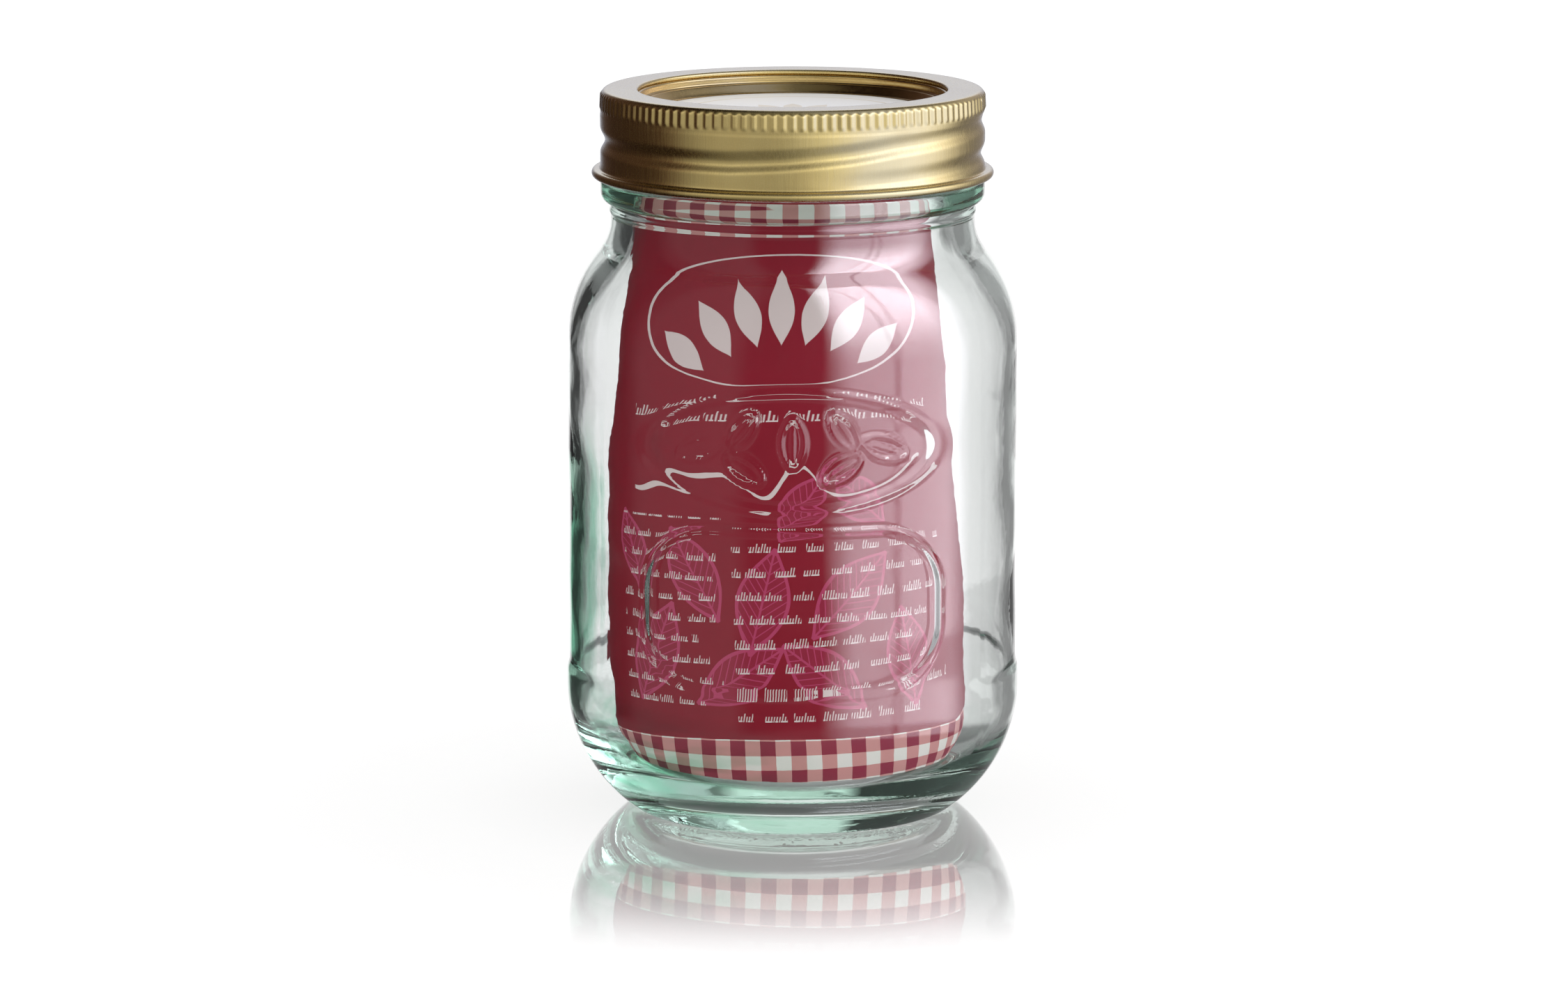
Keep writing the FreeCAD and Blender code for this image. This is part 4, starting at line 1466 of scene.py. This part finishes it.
@dataclass
class RecipeCard:
    """A printed card rolled into a flattened C, open at the back, that stands in the jar."""

    width: float = 149.0
    thickness: float = 0.35
    front_share: float = 1.19
    side_share: float = 0.745
    columns: int = 200
    levels: int = 116
    drop: float = 2.5
    roll: tuple[RollWidth, ...] = (
        RollWidth(0.0, 30.2, 0.0, 0.33),
        RollWidth(4.0, 32.0, 0.1, 0.345),
        RollWidth(15.0, 34.0, 0.6, 0.395),
        RollWidth(36.0, 33.8, 1.6, 0.415),
        RollWidth(52.0, 33.2, 2.2, 0.42),
        RollWidth(72.0, 31.2, 2.3, 0.42),
        RollWidth(92.0, 29.3, 2.0, 0.42),
        RollWidth(103.0, 27.9, 1.9, 0.42),
        RollWidth(117.5, 27.6, 1.7, 0.42),
    )
    print: CardPrint = field(default_factory=CardPrint)

    def __post_init__(self) -> None:
        """Reads the card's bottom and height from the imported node."""
        bottom, top, _ = node_size("recipe_card")
        self.bottom = bottom - self.drop
        self.height = top - self.bottom

    def _eased(self, up: np.ndarray, values: Sequence[float]) -> np.ndarray:
        """A size of the roll at each height, averaged over a few millimetres to take out corners."""
        heights = [width.height for width in self.roll]
        return sum(np.interp(up + shift, heights, values) for shift in range(-5, 6)) / 11.0

    def _rolled(self, along: np.ndarray, up: np.ndarray) -> tuple[np.ndarray, np.ndarray]:
        """Where the sheet's points lie once it is rolled.

        Args:
            along: The distance along the sheet from the middle of the front, to the right.
            up: The height above the card's foot.

        Returns:
            The points' X and Y.
        """
        half = self._eased(up, [width.half_width for width in self.roll])
        shift = self._eased(up, [width.shift for width in self.roll])
        set_back = self._eased(up, [width.set_back for width in self.roll])
        front, side = half * self.front_share, half * self.side_share
        side_across = half - side
        meet = np.arcsin(side_across / (front - side))
        front_back = half * set_back
        side_back = front_back - (front - side) * np.cos(meet)
        reach = np.abs(along)
        on_front = reach < front * meet
        front_angle = reach / front
        side_angle = meet + (reach - front * meet) / side
        across = np.where(
            on_front, front * np.sin(front_angle), side_across + side * np.sin(side_angle)
        )
        back = np.where(
            on_front, front_back - front * np.cos(front_angle), side_back - side * np.cos(side_angle)
        )
        return np.sign(along) * across - shift, back

    def build(self, effects: SharedEffects) -> bpy.types.Object:
        """Rolls, thickens and dresses the card."""
        lay_down_tools()
        bpy.ops.mesh.primitive_grid_add(
            x_subdivisions=self.columns, y_subdivisions=self.levels, size=1.0, calc_uvs=True
        )
        piece = bpy.context.object
        piece.name = piece.data.name = "card_roll"
        mesh = piece.data
        places = np.empty(len(mesh.vertices) * 3)
        mesh.vertices.foreach_get("co", places)
        places = places.reshape(-1, 3)
        along = places[:, 0] * self.width
        up = (places[:, 1] + 0.5) * self.height
        across, back = self._rolled(along, up)
        places = np.stack((across, back, up + self.bottom), axis=1) * MM
        mesh.vertices.foreach_set("co", places.ravel())
        mesh.update()
        pick_up(piece)
        front = min(mesh.polygons, key=lambda face: face.center.y)
        if front.normal.y > 0.0:
            mesh.flip_normals()
        wall = piece.modifiers.new("Thickness", "SOLIDIFY")
        wall.thickness = self.thickness * MM
        wall.offset = -1.0
        wall.material_offset = 1
        wall.material_offset_rim = 2
        face = self.print.build(effects, self.width, self.height)
        back_face = self._plain(effects, "card_back", paint(226, 219, 210))
        edge = self._plain(effects, "card_edge", paint(232, 226, 218))
        for material in (face, back_face, edge):
            mesh.materials.append(material)
        bpy.ops.object.modifier_apply(modifier=wall.name)
        bpy.ops.object.shade_smooth_by_angle(angle=math.radians(40.0))
        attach(piece, BODY)
        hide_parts("recipe_card")
        log.info("%s: %d faces", piece.name, len(mesh.polygons))
        return piece

    @staticmethod
    def _plain(effects: SharedEffects, name: str, colour: Colour) -> bpy.types.Material:
        """Bare card stock."""
        material, wiring, surface, _ = new_material(name)
        place = wiring.node("ShaderNodeTexCoord").outputs["Object"]
        fibre = wiring.use(effects.fibre, Vector=place)
        shade = tuple(level * 0.93 for level in colour)
        wiring.feed(
            surface.inputs["Base Color"], wiring.blend(fibre.outputs["Tone"], shade, colour)
        )
        surface.inputs["Roughness"].default_value = 0.7
        return material


# ------------------------------------------------------------------ floor, light and camera


class RayKind(Enum):
    """The outputs of a Light Path node that the room and the floor tell apart."""

    CAMERA = "Is Camera Ray"
    GLOSSY = "Is Glossy Ray"
    SINGULAR = "Is Singular Ray"
    TRANSMISSION = "Is Transmission Ray"
    CROSSINGS = "Transparent Depth"


Profile = tuple[tuple[float, float], ...]


@dataclass
class Studio:
    """A white room; shiny surfaces also find a pale panel on the left and a soft light on the right.

    Camera rays find plain white, and matt surfaces a plain soft light. Only rays that left a shiny
    surface find the profiles, each a row of (bearing or tilt in degrees, brightness).
    """

    floor_size: float = 6.0
    floor_colour: Colour = (0.90, 0.90, 0.90)
    mirror: float = 0.70
    mirror_near: float = 68.0
    mirror_far: float = 130.0
    # The contact values paint a shadow into the floor's glow round the jar's foot.
    contact_shade: float = 0.10
    contact_near: float = 26.0
    contact_far: float = 74.0
    floor_glow: float = 0.24
    soft_level: float = 0.90
    soft_from_right: float = 0.42
    soft_from_above: float = 0.08
    light_from: float = 20.0
    light_to: float = 104.0
    satin: Profile = (
        (-180.0, 0.56), (-168.0, 0.56), (-160.0, 0.10), (-140.0, 0.035), (-92.0, 0.045),
        (-82.0, 0.08), (-74.0, 0.17), (-64.0, 0.30), (-54.0, 0.40), (-42.0, 0.44), (-32.0, 0.43),
        (-22.0, 0.40), (-12.0, 0.40), (-2.0, 0.42), (6.0, 0.56), (14.0, 0.68), (24.0, 0.88),
        (34.0, 1.0), (44.0, 1.08), (54.0, 1.14), (64.0, 1.2), (76.0, 1.32), (88.0, 1.32),
        (100.0, 1.02), (114.0, 0.56), (128.0, 0.22), (158.0, 0.26), (168.0, 0.56), (180.0, 0.56),
    )
    satin_tilt: Profile = (
        (-90.0, 0.35), (-42.0, 0.45), (-14.0, 0.95), (2.0, 1.0), (16.0, 1.55), (28.0, 1.6),
        (42.0, 0.6), (55.0, 0.3), (90.0, 0.3),
    )
    satin_tint: tuple[tuple[float, Colour], ...] = (
        (-180.0, (0.95, 1.0, 1.2)), (-165.0, (0.95, 1.0, 1.2)), (-150.0, (1.0, 0.58, 0.48)),
        (-84.0, (1.0, 0.60, 0.50)), (-66.0, (1.0, 0.96, 0.90)), (24.0, (1.0, 1.0, 1.0)),
        (46.0, (0.90, 1.0, 1.6)), (80.0, (0.90, 1.0, 1.6)), (110.0, (1.0, 1.0, 1.1)),
        (160.0, (1.0, 0.9, 0.9)), (168.0, (0.95, 1.0, 1.2)), (180.0, (0.95, 1.0, 1.2)),
    )
    lamp_tint: Colour = (1.02, 0.965, 1.05)
    clear: Profile = (
        (-180.0, 1.0), (-167.0, 1.0), (-162.0, 0.05), (-96.0, 0.05), (-86.0, 0.22), (-32.0, 0.25),
        (-22.0, 0.04), (16.0, 0.04), (32.0, 3.2), (54.0, 3.6), (55.5, 1.9), (57.0, 1.9),
        (58.5, 3.9), (88.0, 4.2), (104.0, 0.28), (160.0, 0.25), (166.0, 1.0), (180.0, 1.0),
    )
    clear_tilt: Profile = (
        (-90.0, 1.0), (6.0, 1.0), (38.0, 2.6), (72.0, 2.6), (84.0, 0.6), (90.0, 0.6),
    )
    table: float = 0.80
    below: Profile = ((-90.0, 0.10), (-60.0, 0.12), (-42.0, 0.14), (-28.0, 0.20), (-20.0, 0.28))
    below_edge: tuple[float, float] = (-14.5, -19.5)
    mirrored_glass: float = 0.6
    horizon: float = -11.7

    def build_floor(self) -> list[bpy.types.Object]:
        """The pale floor, and the clear sheet on it that marks what the floor mirrors."""
        stage = []
        for name, height, material in (
            ("floor", 0.0, self._floor_material()),
            ("floor_gloss_sheet", 0.02 * MM, self._sheet_material()),
        ):
            lay_down_tools()
            bpy.ops.mesh.primitive_plane_add(size=self.floor_size, location=(0.0, 0.0, height))
            piece = bpy.context.object
            piece.name = name
            piece.visible_glossy = piece.visible_transmission = False
            piece.data.materials.append(material)
            stage.append(piece)
        sheet = stage[1]
        sheet.visible_diffuse = sheet.visible_shadow = False
        return stage

    @staticmethod
    def _sheet_material() -> bpy.types.Material:
        """Perfectly clear, so that a ray that crosses it is only counted."""
        material, wiring, _, output = new_material("clear_sheet")
        clear = wiring.node("ShaderNodeBsdfTransparent")
        clear.inputs[0].default_value = (1.0, 1.0, 1.0, 1.0)
        wiring.feed(output.inputs["Surface"], clear.outputs[0])
        return material

    def _floor_material(self) -> bpy.types.Material:
        """A matt white floor with a mirror gloss that fades away from the jar, and a painted contact
        shadow round its foot.
        """
        material, wiring, surface, output = new_material("pale_floor")
        wiring.feed(surface.inputs["Base Color"], self.floor_colour)
        surface.inputs["Roughness"].default_value = 0.9
        surface.inputs["Specular IOR Level"].default_value = 0.0
        path = wiring.node("ShaderNodeLightPath")
        surface.inputs["Emission Color"].default_value = (1.0, 1.0, 1.0, 1.0)
        x, y, _ = wiring.parts(wiring.node("ShaderNodeTexCoord").outputs["Object"])
        away = wiring.reach(x, y)
        # Painted contact shadow: the floor glows less close to the jar's foot.
        painted_contact_shadow = wiring.span(
            away, self.contact_near * MM, self.contact_far * MM, self.contact_shade, 0.0
        )
        wiring.feed(
            surface.inputs["Emission Strength"],
            wiring.math(
                "MULTIPLY",
                path.outputs[RayKind.CAMERA.value],
                wiring.math("SUBTRACT", self.floor_glow, painted_contact_shadow),
            ),
        )
        fade = wiring.span(away, self.mirror_near * MM, self.mirror_far * MM, self.mirror, 0.0)
        gloss = wiring.node("ShaderNodeBsdfGlossy")
        gloss.inputs["Roughness"].default_value = 0.0
        gloss.inputs["Color"].default_value = (1.0, 1.0, 1.0, 1.0)
        mix = wiring.node("ShaderNodeMixShader")
        wiring.feed(mix.inputs[0], wiring.math("MULTIPLY", fade, path.outputs[RayKind.CAMERA.value]))
        wiring.feed(mix.inputs[1], surface.outputs[0])
        wiring.feed(mix.inputs[2], gloss.outputs[0])
        wiring.feed(output.inputs["Surface"], mix.outputs[0])
        return material

    @staticmethod
    def _profile(
        wiring: Wiring, value: object, low: float, high: float, profile: Profile
    ) -> bpy.types.NodeSocket:
        """A brightness read from a profile.

        Args:
            value: The bearing or tilt, in degrees.
            low: The profile's first angle.
            high: The profile's last angle.
            profile: Its points.

        Returns:
            The brightness.
        """
        peak = max(bright for _, bright in profile)
        stops = [((angle - low) / (high - low), (bright / peak,) * 3) for angle, bright in profile]
        shade = wiring.ramp(wiring.span(value, low, high, soft=False), stops)
        return wiring.math("MULTIPLY", shade, peak)

    def _shine(
        self, wiring: Wiring, bearing: object, tilt: object, singular: object
    ) -> tuple[bpy.types.NodeSocket, bpy.types.NodeSocket]:
        """What a shiny surface finds in the room.

        Args:
            bearing: The direction's bearing from the camera's side, in degrees.
            tilt: Its angle above the horizon, in degrees.
            singular: 1 for glass and other perfect mirrors, 0 for satin metal.

        Returns:
            The room's brightness and its colour in that direction.
        """
        satin = wiring.math(
            "MULTIPLY",
            self._profile(wiring, bearing, -180.0, 180.0, self.satin),
            self._profile(wiring, tilt, -90.0, 90.0, self.satin_tilt),
        )
        clear = self._profile(wiring, bearing, -180.0, 180.0, self.clear)
        high_light = wiring.window(bearing, self.light_from, self.light_to, 4.0)
        lift = wiring.span(
            high_light, 0.0, 1.0, 1.0, self._profile(wiring, tilt, -90.0, 90.0, self.clear_tilt),
            soft=False,
        )
        clear = wiring.math("MULTIPLY", clear, lift)
        behind = wiring.span(wiring.math("ABSOLUTE", bearing), 160.0, 168.0)
        table = wiring.span(tilt, self.horizon - 0.35, self.horizon + 0.35, self.table, 1.0)
        clear = wiring.math(
            "MULTIPLY", clear, wiring.span(behind, 0.0, 1.0, 1.0, table, soft=False)
        )
        below = self._profile(wiring, tilt, -90.0, 90.0, self.below)
        low = wiring.span(tilt, *self.below_edge)
        clear = wiring.span(low, 0.0, 1.0, clear, below, soft=False)
        tint = wiring.ramp(
            wiring.span(bearing, -180.0, 180.0, soft=False),
            [((angle + 180.0) / 360.0, colour) for angle, colour in self.satin_tint],
        )
        lamp = wiring.blend(high_light, (1.0, 1.0, 1.0), self.lamp_tint)
        return (
            wiring.span(singular, 0.0, 1.0, satin, clear, soft=False),
            wiring.blend(singular, tint, lamp),
        )

    def build_world(self) -> None:
        """The room: white behind, soft and plain for matt surfaces, panelled for shiny ones."""
        world = bpy.data.worlds.new("studio")
        bpy.context.scene.world = world
        world.use_nodes = True
        world.cycles.sampling_method = "NONE"
        world.node_tree.nodes.clear()
        wiring = Wiring(world.node_tree)
        direction = wiring.parts(wiring.node("ShaderNodeTexCoord").outputs["Generated"])
        bearing = wiring.math(
            "DEGREES",
            wiring.math("ARCTAN2", direction[0], wiring.math("MULTIPLY", direction[1], -1.0)),
        )
        tilt = wiring.math("DEGREES", wiring.math("ARCSINE", direction[2]))
        path = wiring.node("ShaderNodeLightPath")
        ray = {kind: path.outputs[kind.value] for kind in RayKind}
        sideways = wiring.math(
            "MULTIPLY_ADD", direction[0], self.soft_from_right, self.soft_level
        )
        soft = wiring.math("MULTIPLY_ADD", direction[2], self.soft_from_above, sideways)
        shine, tint = self._shine(wiring, bearing, tilt, ray[RayKind.SINGULAR])
        shiny_ray = wiring.math("MAXIMUM", ray[RayKind.GLOSSY], ray[RayKind.TRANSMISSION])
        level = wiring.span(shiny_ray, 0.0, 1.0, soft, shine, soft=False)
        by_floor = wiring.math("GREATER_THAN", ray[RayKind.CROSSINGS], 0.5)
        mirrored = wiring.math("MULTIPLY", ray[RayKind.GLOSSY], ray[RayKind.SINGULAR])
        mirrored = wiring.math("SUBTRACT", mirrored, ray[RayKind.TRANSMISSION], clamp=True)
        mirrored = wiring.math("MULTIPLY", mirrored, by_floor)
        sunk = wiring.math("MULTIPLY", ray[RayKind.TRANSMISSION], by_floor)
        level = wiring.math(
            "MULTIPLY", level, wiring.span(sunk, 0.0, 1.0, 1.0, self.mirrored_glass, soft=False)
        )
        plain = wiring.math("MAXIMUM", ray[RayKind.CAMERA], mirrored)
        level = wiring.span(plain, 0.0, 1.0, level, 1.0, soft=False)
        background = wiring.node("ShaderNodeBackground")
        coloured = wiring.math("MULTIPLY", shiny_ray, wiring.math("SUBTRACT", 1.0, plain))
        wiring.feed(
            background.inputs["Color"], wiring.blend(coloured, (1.0, 1.0, 1.0), tint)
        )
        wiring.feed(background.inputs["Strength"], level)
        output = wiring.node("ShaderNodeOutputWorld")
        wiring.feed(output.inputs["Surface"], background.outputs[0])


@dataclass(frozen=True)
class Viewpoint:
    """The camera: where it stands, how it looks down and aside, and its lens."""

    distance: float = 1278.0
    height: float = 290.3
    look_down: float = 10.23
    look_aside: float = 0.073
    lens: float = 157.0
    sensor: float = 36.0

    def build(self) -> bpy.types.Object:
        """Adds the camera and makes it the scene's own."""
        data = bpy.data.cameras.new("studio_camera")
        data.lens = self.lens
        data.sensor_width = self.sensor
        data.sensor_fit = "HORIZONTAL"
        data.clip_start = 0.05
        camera = bpy.data.objects.new("studio_camera", data)
        bpy.context.scene.collection.objects.link(camera)
        camera.location = (0.0, -self.distance * MM, self.height * MM)
        camera.rotation_euler = (
            math.radians(90.0 - self.look_down),
            0.0,
            math.radians(self.look_aside),
        )
        bpy.context.scene.camera = camera
        return camera


def set_view() -> None:
    """Plain colours, and enough bounces for light that is caught inside the thick glass."""
    scene = bpy.context.scene
    scene.view_settings.view_transform = "Standard"
    scene.cycles.max_bounces = 28
    scene.cycles.glossy_bounces = 20
    scene.cycles.transmission_bounces = 28
    scene.cycles.transparent_max_bounces = 24


def dress_seal(effects: SharedEffects) -> None:
    """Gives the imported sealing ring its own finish."""
    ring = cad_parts["seal_ring"]
    ring.data.materials.clear()
    ring.data.materials.append(SealCompound().build(effects))


def main() -> None:
    """Builds every piece in order and reports it."""
    logging.basicConfig(level=logging.INFO, format="%(message)s")
    set_view()
    Viewpoint().build()
    studio = Studio()
    studio.build_world()
    studio.build_floor()
    effects = SharedEffects()
    band_gold = GoldLacquer(
        "gold_band", (0.80, 0.63, 0.25), (0.75, 0.575, 0.215), 0.25, 0.30, 2600.0, 0.9, 0.22
    )
    disc_gold = GoldLacquer(
        "gold_disc", (0.72, 0.53, 0.20), (0.62, 0.44, 0.15), 0.20, 0.15, 1500.0, 1.0, 0.25,
        # This near-white centre colour partly paints in the white reflection on the disc's panel.
        (0.96, 0.95, 0.93), 25.6,
    )
    pieces = [
        GlassJar().build(ClearGlass().build()),
        LidDisc().build(disc_gold.build(effects)),
        ScrewBand().build(band_gold.build(effects)),
        RecipeCard().build(effects),
    ]
    dress_seal(effects)
    for piece in pieces:
        log.info("%s is in place", piece.name)


if __name__ == "__main__":
    main()
